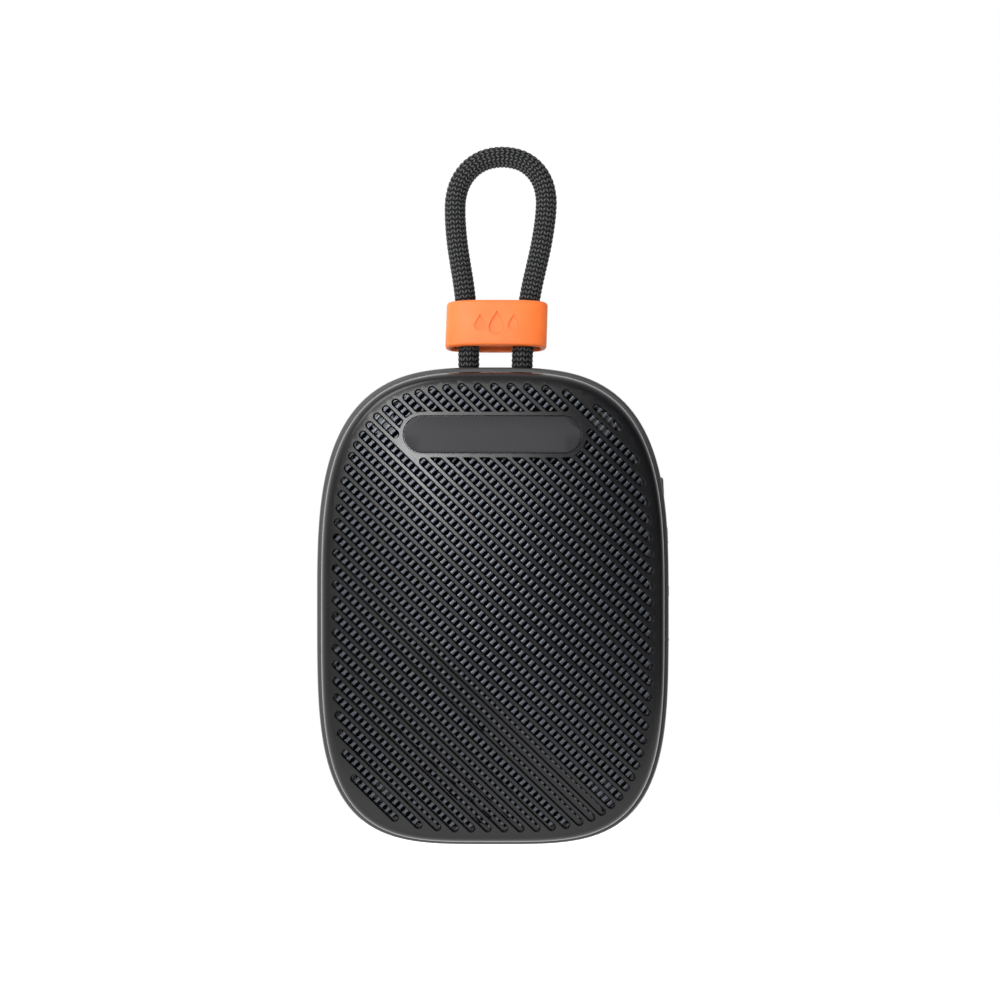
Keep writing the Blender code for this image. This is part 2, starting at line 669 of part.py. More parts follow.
def make_leads():
    speaker_route = [
        (5.0, 8.2, -6.6), (6.0, 8.4, -3.0), (7.0, 7.6, 1.0), (8.0, 6.2, 5.0), (8.4, 5.2, 9.0),
        (8.4, 4.9, 12.0),
    ]  # fmt: skip
    battery_route = [
        (-12, -0.2, 38.6), (-12, 0.2, 40.4), (-12, 2.8, 41.4), (-12, 5.4, 40.2), (-12, 5.5, 37.0),
        (-12, 4.9, 33.6),
    ]  # fmt: skip
    for name, route in (("speaker_lead", speaker_route), ("battery_lead", battery_route)):
        tube(name, smooth_route([Vector(point) for point in route], 1.4), 0.7, "dark_rubber", 1)


# The loop: one braided cord, its silicone sleeve, and what holds its ends inside the shell.


def on_loop(side, height, depth=0.0):
    """A point in the housing's frame, from its place across the loop, along it and in front of it."""
    if height < 0:
        return Vector((EXIT_X + side, EXIT_Y - depth, PIVOT_Z + height))
    x = EXIT_X + SIDE_DRIFT * height + side
    y = EXIT_Y + height * math.sin(LEAN) - depth * math.cos(LEAN)
    z = PIVOT_Z + height * math.cos(LEAN) + depth * math.sin(LEAN)
    return Vector((x, y, z))


def make_loop():
    right = [on_loop(side, height) for side, height in LOOP_ROUTE]
    left = [on_loop(-side, height) for side, height in LOOP_ROUTE[:-1]]
    tube("strap_cord", smooth_route(left + right[::-1], ROUTE_STEP), CORD_RADIUS, "black_braid", 3)

    middle = (SLEEVE_LOW + SLEEVE_HIGH) / 2
    origin = on_loop(0, middle)

    def around_cords(u, v, w):
        return on_loop(u, w, v)

    body = prism(stadium(SLEEVE_WIDTH, SLEEVE_DEPTH, 10), SLEEVE_LOW, SLEEVE_HIGH, around_cords)
    sleeve = softened(piece("cord_sleeve", body, "orange_silicone", origin), 0.6)
    hole = prism(stadium(20.6, 2 * CORD_RADIUS + 0.6, 8), SLEEVE_LOW - 1.0, SLEEVE_HIGH + 4.0, around_cords)
    combine(sleeve, helper("sleeve_hole", hole))

    bar = block((EXIT_X - 11.0, 1.8, 46.2), (EXIT_X + 11.0, 8.2, 51.0))
    anchor = piece("strap_anchor", bar, "inner_plastic")
    for side, x in zip(("left", "right"), CORD_XS):
        hole = prism(circle(CORD_RADIUS + GAP, 16), 44.0, 53.0, standing(x, EXIT_Y))
        combine(anchor, helper(f"anchor_hole_{side}", hole))
        ring = prism(circle(3.4, 16), 42.6, 45.9, standing(x, EXIT_Y))
        crimp = piece(f"cord_crimp_{side}", ring, "steel")
        bore = prism(circle(CORD_RADIUS + 0.25, 16), 41.0, 48.0, standing(x, EXIT_Y))
        combine(crimp, helper(f"crimp_bore_{side}", bore))


make_front_cover()
make_badge_plate()
make_sheet("acoustic_mesh", "acoustic_cloth", 5.0, -5.9, -5.6, 3.1)
make_baffle()
make_seal()
make_rear_shell()
make_feet()
make_housing_screws()
make_keys()
make_port()
make_driver()
make_electronics()
make_leads()
make_loop()
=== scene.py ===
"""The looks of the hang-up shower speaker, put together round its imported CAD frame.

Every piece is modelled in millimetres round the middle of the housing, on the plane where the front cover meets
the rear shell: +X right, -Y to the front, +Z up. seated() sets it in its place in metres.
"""

import math

import bmesh
import bpy
from mathutils import Matrix, Vector


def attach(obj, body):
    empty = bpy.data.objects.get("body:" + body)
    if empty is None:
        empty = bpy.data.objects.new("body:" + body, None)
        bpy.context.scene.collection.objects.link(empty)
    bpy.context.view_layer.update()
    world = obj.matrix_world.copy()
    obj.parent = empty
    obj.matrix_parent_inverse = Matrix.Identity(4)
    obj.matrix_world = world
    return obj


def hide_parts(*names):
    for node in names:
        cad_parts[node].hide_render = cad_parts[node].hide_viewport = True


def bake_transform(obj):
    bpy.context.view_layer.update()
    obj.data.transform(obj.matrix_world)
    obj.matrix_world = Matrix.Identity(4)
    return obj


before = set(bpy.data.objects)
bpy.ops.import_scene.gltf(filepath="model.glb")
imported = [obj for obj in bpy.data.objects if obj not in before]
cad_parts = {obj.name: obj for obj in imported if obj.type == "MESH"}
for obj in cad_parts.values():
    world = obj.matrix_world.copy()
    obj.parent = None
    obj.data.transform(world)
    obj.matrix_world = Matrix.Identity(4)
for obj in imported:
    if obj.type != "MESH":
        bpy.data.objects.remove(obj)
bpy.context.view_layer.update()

# The studio. The speaker hangs by its loop in front of a long lens, in a plain white room whose left side is the
# brighter one. A large soft box stands in front of it, up on the left, and a pale floor lies some way below.

MM = 0.001
LEAN = math.radians(9.0)
SIDE_DRIFT = 0.033
EXIT_X, EXIT_Y, PIVOT_Z, LOOP_TOP = 0.6, 5.0, 57.4, 46.05
HOUSING = -Vector(
    (EXIT_X + SIDE_DRIFT * LOOP_TOP, EXIT_Y + LOOP_TOP * math.sin(LEAN), PIVOT_Z + LOOP_TOP * math.cos(LEAN))
)

camera_data = bpy.data.cameras.new("camera")
camera_data.lens = 92.9
camera_data.sensor_width = 36.0
camera_data.clip_start = 0.01
camera = bpy.data.objects.new("camera", camera_data)
camera.location = (HOUSING + Vector((1.65, -596.0, 24.5))) * MM
camera.rotation_euler = (math.radians(90), 0, 0)
bpy.context.collection.objects.link(camera)
bpy.context.scene.camera = camera
bpy.context.scene.view_settings.view_transform = "Standard"

world = bpy.data.worlds.new("white_room")
bpy.context.scene.world = world
world.use_nodes = True
room = world.node_tree
background = room.nodes["Background"]
direction = room.nodes.new("ShaderNodeTexCoord")
facing = room.nodes.new("ShaderNodeVectorMath")
facing.operation = "DOT_PRODUCT"
facing.inputs[1].default_value = (-0.66, 0.6, 0.45)
room.links.new(direction.outputs["Generated"], facing.inputs[0])
shade = room.nodes.new("ShaderNodeMapRange")
shade.inputs["From Min"].default_value = -0.6
shade.inputs["From Max"].default_value = 0.9
shade.inputs["To Min"].default_value = 0.04
shade.inputs["To Max"].default_value = 1.75
room.links.new(facing.outputs["Value"], shade.inputs["Value"])
seen = room.nodes.new("ShaderNodeLightPath")
lighting = room.nodes.new("ShaderNodeMix")
lighting.inputs["B"].default_value = 1.0
room.links.new(seen.outputs["Is Camera Ray"], lighting.inputs["Factor"])
room.links.new(shade.outputs["Result"], lighting.inputs["A"])
room.links.new(lighting.outputs["Result"], background.inputs["Strength"])
background.inputs["Color"].default_value = (1, 1, 1, 1)


def soft_box(name, place, aim, width, watts):
    lamp = bpy.data.lights.new(name, "AREA")
    lamp.shape = "SQUARE"
    lamp.size = width
    lamp.energy = watts
    made = bpy.data.objects.new(name, lamp)
    made.location = place
    made.rotation_euler = (Vector(aim) - Vector(place)).to_track_quat("-Z", "Y").to_euler()
    bpy.context.collection.objects.link(made)


MIDDLE = HOUSING * MM
soft_box("key_box", MIDDLE + Vector((-0.30, -0.62, 0.46)), MIDDLE + Vector((0, 0, 0.03)), 0.34, 3.4)
soft_box("front_box", MIDDLE + Vector((-0.125, -1.0, 0.165)), MIDDLE + Vector((0, 0, 0.03)), 0.12, 3.2)

bm = bmesh.new()
bmesh.ops.create_grid(bm, x_segments=1, y_segments=1, size=1.2)
bmesh.ops.translate(bm, vec=(0, 0, MIDDLE.z - 0.2), verts=bm.verts)
floor_mesh = bpy.data.meshes.new("floor")
bm.to_mesh(floor_mesh)
bm.free()
floor = bpy.data.objects.new("floor", floor_mesh)
bpy.context.collection.objects.link(floor)
pale = bpy.data.materials.new("pale_floor")
pale.use_nodes = True
pale_shader = pale.node_tree.nodes["Principled BSDF"]
pale_shader.inputs["Base Color"].default_value = (0.9, 0.9, 0.9, 1)
pale_shader.inputs["Roughness"].default_value = 0.9
pale_shader.inputs["Emission Color"].default_value = (1, 1, 1, 1)
pale_shader.inputs["Emission Strength"].default_value = 0.45
floor_mesh.materials.append(pale)


# The hanging loop is one black braided polyester cord. Forty yarns cross two over and two under round a dark core,
# so that each yarn shows as short padded stitches in a herringbone. Both ends are crimped inside the rear shell.


class Wire:
    """A number in a shader. Arithmetic on it adds Math nodes."""

    def __init__(self, finish, socket):
        self.finish = finish
        self.socket = socket

    def math(self, operation, *others):
        inputs = dict(enumerate((self, *others)))
        return self.finish.node("ShaderNodeMath", {"operation": operation}, inputs)

    def __add__(self, other):
        return self.math("ADD", other)

    __radd__ = __add__

    def __mul__(self, other):
        return self.math("MULTIPLY", other)

    __rmul__ = __mul__

    def __sub__(self, other):
        return self.math("SUBTRACT", other)

    def __rsub__(self, other):
        return (self * -1.0) + other

    def __pow__(self, other):
        return self.math("POWER", other)


class Finish:
    """A procedural material, built round one Principled shader."""

    def __init__(self, name, colour, roughness, **fixed):
        self.material = bpy.data.materials.new(name)
        self.material.use_nodes = True
        self.tree = self.material.node_tree
        self.shader = self.tree.nodes["Principled BSDF"]
        self.give("Base Color", (*colour, 1.0))
        self.give("Roughness", roughness)
        for name, value in fixed.items():
            self.give(name.replace("_", " "), value)

    def give(self, name, value):
        if isinstance(value, Wire):
            self.tree.links.new(value.socket, self.shader.inputs[name])
        else:
            self.shader.inputs[name].default_value = value

    def node(self, kind, settings, inputs, out=0):
        """Adds a node and returns one of its outputs."""
        made = self.tree.nodes.new(kind)
        for name, value in settings.items():
            setattr(made, name, value)
        for name, value in inputs.items():
            if isinstance(value, Wire):
                self.tree.links.new(value.socket, made.inputs[name])
            else:
                made.inputs[name].default_value = value
        return Wire(self, made.outputs[out])

    def place(self):
        return self.node("ShaderNodeTexCoord", {}, {}, "Object")

    def uv(self):
        return self.node("ShaderNodeTexCoord", {}, {}, "UV")

    def part(self, vector, axis):
        return self.node("ShaderNodeSeparateXYZ", {}, {0: vector}, axis)

    def stretched(self, vector, scale):
        return self.node("ShaderNodeVectorMath", {"operation": "MULTIPLY"}, {0: vector, 1: scale})

    def noise(self, vector, spot, detail=2.0, rough=0.5):
        """Noise from 0 to 1 whose spots are about this wide, in millimetres on Object coordinates."""
        inputs = {"Vector": vector, "Scale": 1.0 / (spot * MM), "Detail": detail, "Roughness": rough}
        return self.node("ShaderNodeTexNoise", {}, inputs, "Fac")

    def mapped(self, value, low, high, to_low=0.0, to_high=1.0):
        inputs = {"Value": value, "From Min": low, "From Max": high, "To Min": to_low, "To Max": to_high}
        return self.node("ShaderNodeMapRange", {}, inputs)

    def blend(self, factor, first, second):
        """A colour between two others."""
        inputs = {"Factor": factor}
        for socket, colour in (("A", first), ("B", second)):
            inputs[socket] = colour if isinstance(colour, Wire) else (*colour, 1.0)
        made = self.tree.nodes.new("ShaderNodeMix")
        made.data_type = "RGBA"
        factor_in = made.inputs[0]
        colours_in = {"A": made.inputs[6], "B": made.inputs[7]}
        self.tree.links.new(factor.socket, factor_in)
        for socket in ("A", "B"):
            value = inputs[socket]
            if isinstance(value, Wire):
                self.tree.links.new(value.socket, colours_in[socket])
            else:
                colours_in[socket].default_value = value
        return Wire(self, made.outputs[2])

    def bump(self, height, depth, strength=1.0):
        """Raises the surface by height times depth, in millimetres."""
        inputs = {"Height": height, "Distance": depth * MM, "Strength": strength}
        self.give("Normal", self.node("ShaderNodeBump", {}, inputs))


def seated(name, bm, smooth=35.0, outward=True):
    """Turns a bmesh in millimetres into an object in its place."""
    bmesh.ops.remove_doubles(bm, verts=bm.verts, dist=1e-4)
    if outward:
        bmesh.ops.recalc_face_normals(bm, faces=bm.faces)
    bmesh.ops.translate(bm, vec=HOUSING, verts=bm.verts)
    bmesh.ops.scale(bm, vec=(MM, MM, MM), verts=bm.verts)
    mesh = bpy.data.meshes.new(name)
    bm.to_mesh(mesh)
    bm.free()
    mesh.shade_smooth()
    mesh.set_sharp_from_angle(angle=math.radians(smooth))
    made = bpy.data.objects.new(name, mesh)
    bpy.context.collection.objects.link(made)
    return made


def finished(made, body, finish, slot, *nodes):
    """Gives a piece its finish, fixes it to a body and lets it stand for its CAD nodes."""
    made.data.materials.clear()
    made.data.materials.append(finish.material)
    if body:
        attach(made, body)
    if nodes:
        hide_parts(*nodes)
    return made


CORD_RADIUS = 2.5
YARNS = 40
STITCH_COLUMNS = YARNS // 2
STITCH_ROW = 1.13
STITCH_LONG = 1.42
STITCH_WIDE = 0.66
STITCH_RISE = 0.34
COLUMN_WIDTH = 2 * math.pi * CORD_RADIUS / STITCH_COLUMNS
ROUTE_FINE = 0.25
LOOP_ROUTE = [
    (6.2, -14.4), (6.2, -11.0), (6.2, -7.0), (6.2, -3.4), (6.25, 0.4), (6.4, 4.4), (6.8, 8.8), (7.35, 13.1),
    (8.1, 18.0), (9.0, 22.7), (9.75, 26.8), (10.3, 30.8), (10.65, 34.9), (10.6, 38.7), (9.6, 42.5),
    (7.4, 45.7), (4.2, 47.8), (0.0, 48.55),
]


def on_loop(side, height, depth=0.0):
    """A point from its place across the loop, along it and in front of it."""
    if height < 0:
        return Vector((EXIT_X + side, EXIT_Y - depth, PIVOT_Z + height))
    x = EXIT_X + SIDE_DRIFT * height + side
    y = EXIT_Y + height * math.sin(LEAN) - depth * math.cos(LEAN)
    z = PIVOT_Z + height * math.cos(LEAN) + depth * math.sin(LEAN)
    return Vector((x, y, z))


def smooth_route(points, step):
    """Evenly spaced points on a Catmull-Rom curve through the given ones."""
    ends = [2 * points[0] - points[1], *points, 2 * points[-1] - points[-2]]
    fine = []
    for a, b, c, d in zip(ends, ends[1:], ends[2:], ends[3:]):
        for tick in range(24):
            t = tick / 24
            bend = (2 * a - 5 * b + 4 * c - d) * t * t + (3 * b - a - 3 * c + d) * t**3
            fine.append((2 * b + (c - a) * t + bend) / 2)
    fine.append(points[-1])
    lengths = [0.0]
    for a, b in zip(fine, fine[1:]):
        lengths.append(lengths[-1] + (b - a).length)
    count = round(lengths[-1] / step)
    even, index = [], 0
    for number in range(count + 1):
        want = lengths[-1] * number / count
        while index < len(fine) - 2 and lengths[index + 1] < want:
            index += 1
        part = (want - lengths[index]) / max(lengths[index + 1] - lengths[index], 1e-9)
        even.append(fine[index].lerp(fine[index + 1], min(part, 1.0)))
    return even


left = [on_loop(-side, height) for side, height in LOOP_ROUTE[:-1]]
right = [on_loop(side, height) for side, height in LOOP_ROUTE]
cord_line = smooth_route(left + right[::-1], ROUTE_FINE)
cord_length = sum((b - a).length for a, b in zip(cord_line, cord_line[1:]))
FRONT = Vector((0, -math.cos(LEAN), math.sin(LEAN)))
cord_frames = []
for index, point in enumerate(cord_line):
    along = (cord_line[min(index + 1, len(cord_line) - 1)] - cord_line[max(index - 1, 0)]).normalized()
    ahead = (FRONT - along * FRONT.dot(along)).normalized()
    cord_frames.append((point, ahead, along.cross(ahead)))


def round_cord(flat):
    """Wraps a flat point round the cord: its place round it, along it and above its surface."""
    place = max(0.0, min(flat.y / cord_length, 1.0)) * (len(cord_frames) - 1)
    index = min(int(place), len(cord_frames) - 2)
    part = place - index
    (p, n, b), (p2, n2, b2) = cord_frames[index], cord_frames[index + 1]
    turn = flat.x / CORD_RADIUS
    centre = p.lerp(p2, part)
    out = n.lerp(n2, part) * math.cos(turn) + b.lerp(b2, part) * math.sin(turn)
    return centre + out.normalized() * (CORD_RADIUS + flat.z)


def copied(bm, geom, move):
    """Copies part of a mesh and moves the copy."""
    copy = bmesh.ops.duplicate(bm, geom=geom)["geom"]
    bmesh.ops.translate(bm, vec=move, verts=[item for item in copy if isinstance(item, bmesh.types.BMVert)])
    return copy


bm = bmesh.new()
yarn_map = bm.loops.layers.uv.new("yarn")
bmesh.ops.create_grid(bm, x_segments=4, y_segments=5, size=0.5, calc_uvs=True)
for face in bm.faces:
    for loop in face.loops:
        loop[yarn_map].uv = (loop.vert.co.x + 0.5, loop.vert.co.y + 0.5)
lean_in = math.atan2(COLUMN_WIDTH, STITCH_ROW)
for vert in bm.verts:
    across, run = 2 * vert.co.x, 2 * vert.co.y
    dome = math.cos(across * math.pi / 2.4) * (1 - 0.75 * run**4)
    width = STITCH_WIDE * (1 - 0.25 * run * run)
    vert.co = Vector((across * width / 2, run * STITCH_LONG / 2, STITCH_RISE * (dome - 1)))
bmesh.ops.rotate(bm, matrix=Matrix.Rotation(-lean_in, 3, "Z"), verts=bm.verts)
bmesh.ops.translate(bm, vec=(COLUMN_WIDTH / 2, STITCH_ROW / 2, 0), verts=bm.verts)
twin = bmesh.ops.duplicate(bm, geom=bm.verts[:] + bm.edges[:] + bm.faces[:])["geom"]
twin_verts = [item for item in twin if isinstance(item, bmesh.types.BMVert)]
twin_faces = [item for item in twin if isinstance(item, bmesh.types.BMFace)]
bmesh.ops.scale(bm, vec=(-1, 1, 1), verts=twin_verts)
bmesh.ops.reverse_faces(bm, faces=twin_faces)
bmesh.ops.translate(bm, vec=(2 * COLUMN_WIDTH, 0, 0), verts=twin_verts)
stitch = bm.verts[:] + bm.edges[:] + bm.faces[:]
for pair in range(1, STITCH_COLUMNS // 2):
    copied(bm, stitch, (pair * 2 * COLUMN_WIDTH, 0, 0))
row_count = int(cord_length / STITCH_ROW)
row = bm.verts[:] + bm.edges[:] + bm.faces[:]
for number in range(1, row_count):
    copied(bm, row, (0, number * STITCH_ROW, 0))
core = bmesh.ops.create_grid(bm, x_segments=24, y_segments=round(cord_length / 1.2), size=0.5)["verts"]
for vert in core:
    wide = (vert.co.x + 0.5) * 2 * math.pi * CORD_RADIUS
    vert.co = Vector((wide, (vert.co.y + 0.5) * cord_length, -STITCH_RISE * 0.85))
for vert in bm.verts:
    vert.co = round_cord(vert.co)
cord = seated("loop_cord", bm, 60.0, outward=False)

braid = Finish("black_braid", (0.02, 0.02, 0.021), 0.55, Specular_IOR_Level=0.3)
stitch_at = braid.uv()
run = braid.part(stitch_at, "Y")
over = braid.part(stitch_at, "X")
# Painted light: the yarn colour is lighter on the crest of each stitch, a painted highlight, and darker towards its
# edges and ends, painted shade in the gaps between stitches. Thread and fleck noise add random tone on top.
painted_crest_highlight = (1.0 - (run * 2.0 - 1.0) ** 2.0) * (1.0 - (over * 2.0 - 1.0) ** 2.0)
threads = braid.noise(braid.stretched(stitch_at, (0.011, 0.0012, 1.0)), 1.0, 3.0)
fleck = braid.noise(braid.place(), 0.9, 1.0)
painted_stitch_light = braid.mapped(painted_crest_highlight * (threads * 0.6 + 0.7) + fleck * 0.3, 0.55, 1.15)
# The base colour runs from near black in the painted shade to dark grey in the painted highlight.
braid.give("Base Color", braid.blend(painted_stitch_light, (0.002, 0.002, 0.0025), (0.07, 0.073, 0.071)))
braid.give("Roughness", braid.mapped(painted_stitch_light, 0.0, 1.0, 0.75, 0.42))
braid.bump(threads, 0.03, 0.6)
finished(cord, None, braid, "black_braid", "strap_cord")
cord_path = [(point + HOUSING) * MM for point in cord_line]
blend_from = (on_loop(0, -4.2) + HOUSING) * MM
blend_to = (on_loop(0, 3.6) + HOUSING) * MM
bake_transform(cord)


# The sleeve that gathers the two cords is moulded in one piece of matt orange silicone. Its section is a soft oval
# with a flat slot through it, its edges are rolled over, and three plain water drops are pressed into its front.

SLEEVE_LOW, SLEEVE_HIGH = 2.3, 13.1
SLEEVE_WIDTH, SLEEVE_DEPTH = 23.6, 9.4
SLEEVE_OVAL = 3.0
SLEEVE_SLOT_WIDTH, SLEEVE_SLOT_DEPTH, SLEEVE_SLOT_OVAL = 20.6, 5.7, 4.0
SLEEVE_ROLL = 0.7
DROP_DEEP = 0.45


def oval_ring(bm, width, depth, height, power, count=96):
    """A ring across the loop: an oval that is squarer as its power grows."""
    verts = bmesh.ops.create_circle(bm, segments=count, radius=1.0)["verts"]
    for vert in verts:
        turn = math.atan2(vert.co.y, vert.co.x)
        across, deep = math.cos(turn), math.sin(turn)
        side = math.copysign(abs(across) ** (2 / power), across) * width / 2
        ahead = math.copysign(abs(deep) ** (2 / power), deep) * depth / 2
        vert.co = on_loop(side, height, ahead)
    return list({edge for vert in verts for edge in vert.link_edges})


def oval_post(width, depth, power, stations):
    """A closed post along the loop, through rings at (height, inset)."""
    bm = bmesh.new()
    rings = [oval_ring(bm, width - 2 * inset, depth - 2 * inset, height, power) for height, inset in stations]
    for low, high in zip(rings, rings[1:]):
        bmesh.ops.bridge_loops(bm, edges=low + high)
    bmesh.ops.holes_fill(bm, edges=rings[0] + rings[-1], sides=0)
    return bm


def rolled(low, high, roll, steps=5):
    """Heights and insets of a post whose two ends are rolled over."""
    turns = [math.pi / 2 * step / steps for step in range(steps + 1)]
    foot = [(low + roll * (1 - math.sin(turn)), roll * (1 - math.cos(turn))) for turn in reversed(turns)]
    head = [(high - low_end + low, inset) for low_end, inset in reversed(foot)]
    return foot + head


def carved(made, *tools, operation="DIFFERENCE", smooth=35.0):
    """Cuts a piece with other bodies, which are used up, and keeps the result as its mesh."""
    for tool in tools:
        cut = made.modifiers.new(tool.name, "BOOLEAN")
        cut.operation = operation
        cut.solver = "EXACT"
        cut.object = tool
    graph = bpy.context.evaluated_depsgraph_get()
    mesh = bpy.data.meshes.new_from_object(made.evaluated_get(graph))
    made.modifiers.clear()
    made.data = mesh
    for tool in tools:
        bpy.data.objects.remove(tool)
    mesh.shade_smooth()
    mesh.set_sharp_from_angle(angle=math.radians(smooth))
    return made


def pressed_drop(bm, side, height, size):
    """A water drop's outline, as a block that tapers into the sleeve's front."""
    ring = []
    for step in range(28):
        turn = 2 * math.pi * step / 28
        pinch = math.sin(turn / 2) ** 1.6
        ring.append((0.46 * size * math.sin(turn) * pinch, size * 0.5 * math.cos(turn)))
    front = SLEEVE_DEPTH / 2
    outer = [bm.verts.new(on_loop(side + 1.12 * u, height + 1.12 * v, front + 1.0)) for u, v in ring]
    face = bm.faces.new(outer)
    deep = bmesh.ops.extrude_discrete_faces(bm, faces=[face])["faces"][0]
    centre = on_loop(side, height, front + 1.0)
    floor_centre = on_loop(side, height, front - DROP_DEEP)
    for vert in deep.verts:
        vert.co = floor_centre + (vert.co - centre) * 0.86
    bm.faces.new([vert for vert in reversed(outer)])


sleeve_rings = rolled(SLEEVE_LOW, SLEEVE_HIGH, SLEEVE_ROLL)
sleeve = seated("cord_sleeve_moulded", oval_post(SLEEVE_WIDTH, SLEEVE_DEPTH, SLEEVE_OVAL, sleeve_rings))
slot_rings = [
    (SLEEVE_LOW - 1.0, -0.6), (SLEEVE_LOW + 0.25, -0.25), (SLEEVE_LOW + 0.6, 0.0),
    (SLEEVE_HIGH - 0.6, 0.0), (SLEEVE_HIGH - 0.25, -0.25), (SLEEVE_HIGH + 1.0, -0.6),
]
slot_tool = seated("slot_tool", oval_post(SLEEVE_SLOT_WIDTH, SLEEVE_SLOT_DEPTH, SLEEVE_SLOT_OVAL, slot_rings))
bm = bmesh.new()
for side, size in ((-3.9, 3.9), (0.0, 5.6), (3.9, 3.9)):
    pressed_drop(bm, side, 7.7, size)
drop_tool = seated("drop_tool", bm)
carved(sleeve, slot_tool, drop_tool, smooth=30.0)
silicone = Finish("orange_silicone", (0.86, 0.13, 0.02), 0.5, Subsurface_Weight=0.12)
silicone.shader.inputs["Subsurface Radius"].default_value = (1.0, 0.25, 0.08)
silicone.shader.inputs["Subsurface Scale"].default_value = 0.0015
at = silicone.place()
mottle = silicone.noise(at, 3.0, 3.0)
powder = silicone.noise(at, 0.16, 2.0)
silicone.give("Base Color", silicone.blend(mottle, (0.78, 0.14, 0.018), (0.86, 0.19, 0.034)))
silicone.give("Roughness", silicone.mapped(powder, 0.3, 0.7, 0.46, 0.6))
silicone.bump(powder, 0.02, 0.5)
finished(sleeve, "sleeve", silicone, "orange_silicone", "cord_sleeve")
exit_left = (on_loop(-6.2, 55.25 - PIVOT_Z) + HOUSING) * MM


# The front cover is a crowned shell of fine-grained charcoal plastic. Diagonal slots run across its face from rim to
# rim, each with eased edges and drafted sides, and a shallow pocket near the top takes the badge plate.

HALF_WIDTH, HALF_HEIGHT = 40.75, 55.25
SQUARE_ABOVE, SQUARE_BELOW = 3.2, 3.75
FACE_EDGE, FACE_Y, FACE_WALL, CROWN = 3.3, -8.0, 1.2, 2.4
SLOT_ANGLE = math.radians(44.3)
SLOT_PITCH, SLOT_SHIFT, SLOT_WIDTH, SLOT_TIP, SLOT_COUNT = 2.61, -0.31, 1.98, 3.9, 39
SLOT_EASE, SLOT_DRAFT = 0.1, 0.26
BADGE_LENGTH, BADGE_HEIGHT, BADGE_Z, BADGE_BORDER, BADGE_GAP = 40.5, 8.3, 39.4, 1.0, 0.2
RUN = Vector((math.cos(SLOT_ANGLE), -math.sin(SLOT_ANGLE)))
ACROSS = Vector((math.sin(SLOT_ANGLE), math.cos(SLOT_ANGLE)))


def reach(x, z, half_width, half_height):
    """1 on the rounded outline of these half sizes, less inside it."""
    power = SQUARE_ABOVE if z > 0 else SQUARE_BELOW
    return (abs(x / half_width) ** power + abs(z / half_height) ** power) ** (1 / power)


def unit_outline(count):
    """The housing's outline on a unit scale, its points evenly spaced at full size."""
    fine = []
    for step in range(4001):
        turn = 2 * math.pi * step / 4000
        across, up = math.cos(turn), math.sin(turn)
        bend = 2 / (SQUARE_ABOVE if up > 0 else SQUARE_BELOW)
        fine.append(Vector((math.copysign(abs(across) ** bend, across), math.copysign(abs(up) ** bend, up))))
    lengths = [0.0]
    for a, b in zip(fine, fine[1:]):
        step = b - a
        lengths.append(lengths[-1] + math.hypot(step.x * HALF_WIDTH, step.y * HALF_HEIGHT))
    even, index = [], 0
    for number in range(count):
        want = lengths[-1] * number / count
        while lengths[index + 1] < want:
            index += 1
        even.append(fine[index].lerp(fine[index + 1], (want - lengths[index]) / (lengths[index + 1] - lengths[index])))
    return even


UNIT = unit_outline(208)


def outline_ring(bm, inset, y):
    """A ring of edges round the housing's outline, as far inside it as inset."""
    verts = bmesh.ops.create_circle(bm, segments=len(UNIT), radius=1.0)["verts"]
    for vert, point in zip(verts, UNIT):
        vert.co = Vector((point.x * (HALF_WIDTH - inset), y, point.y * (HALF_HEIGHT - inset)))
    return list({edge for vert in verts for edge in vert.link_edges})


def drawn_out(bm, stations, edges=None):
    """Bridges rings of the outline, given as (inset, y), and returns the first and the last."""
    rings = [outline_ring(bm, *station) for station in stations]
    if edges:
        rings.insert(0, edges)
    for low, high in zip(rings, rings[1:]):
        bmesh.ops.bridge_loops(bm, edges=low + high)
    return rings[0], rings[-1]


def off_badge(point):
    """How far a point of the face is from the badge plate's edge."""
    half = (BADGE_LENGTH - BADGE_HEIGHT) / 2
    along = max(-half, min(half, point.x))
    return (point - Vector((along, BADGE_Z))).length - BADGE_HEIGHT / 2


def slot_spans():
    """Each slot's place across the face, and its two ends along its run, each with a mark where it meets the badge."""
    rim_width = HALF_WIDTH - SLOT_TIP - SLOT_WIDTH / 2
    rim_height = HALF_HEIGHT - SLOT_TIP - SLOT_WIDTH / 2
    for number in range(SLOT_COUNT):
        offset = SLOT_SHIFT + (number - (SLOT_COUNT - 1) / 2) * SLOT_PITCH
        start, start_mark = None, False
        was_badge = False
        for tick in range(-1100, 1101):
            along = tick * 0.05
            point = ACROSS * offset + RUN * along
            on_face = reach(point.x, point.y, rim_width, rim_height) <= 1
            near_badge = off_badge(point) <= BADGE_BORDER + SLOT_WIDTH / 2
            if on_face and not near_badge:
                if start is None:
                    start, start_mark = along, was_badge
            elif start is not None:
                if along - start > 1.2:
                    yield offset, start, along, start_mark, near_badge
                start = None
            if on_face or near_badge:
                was_badge = near_badge


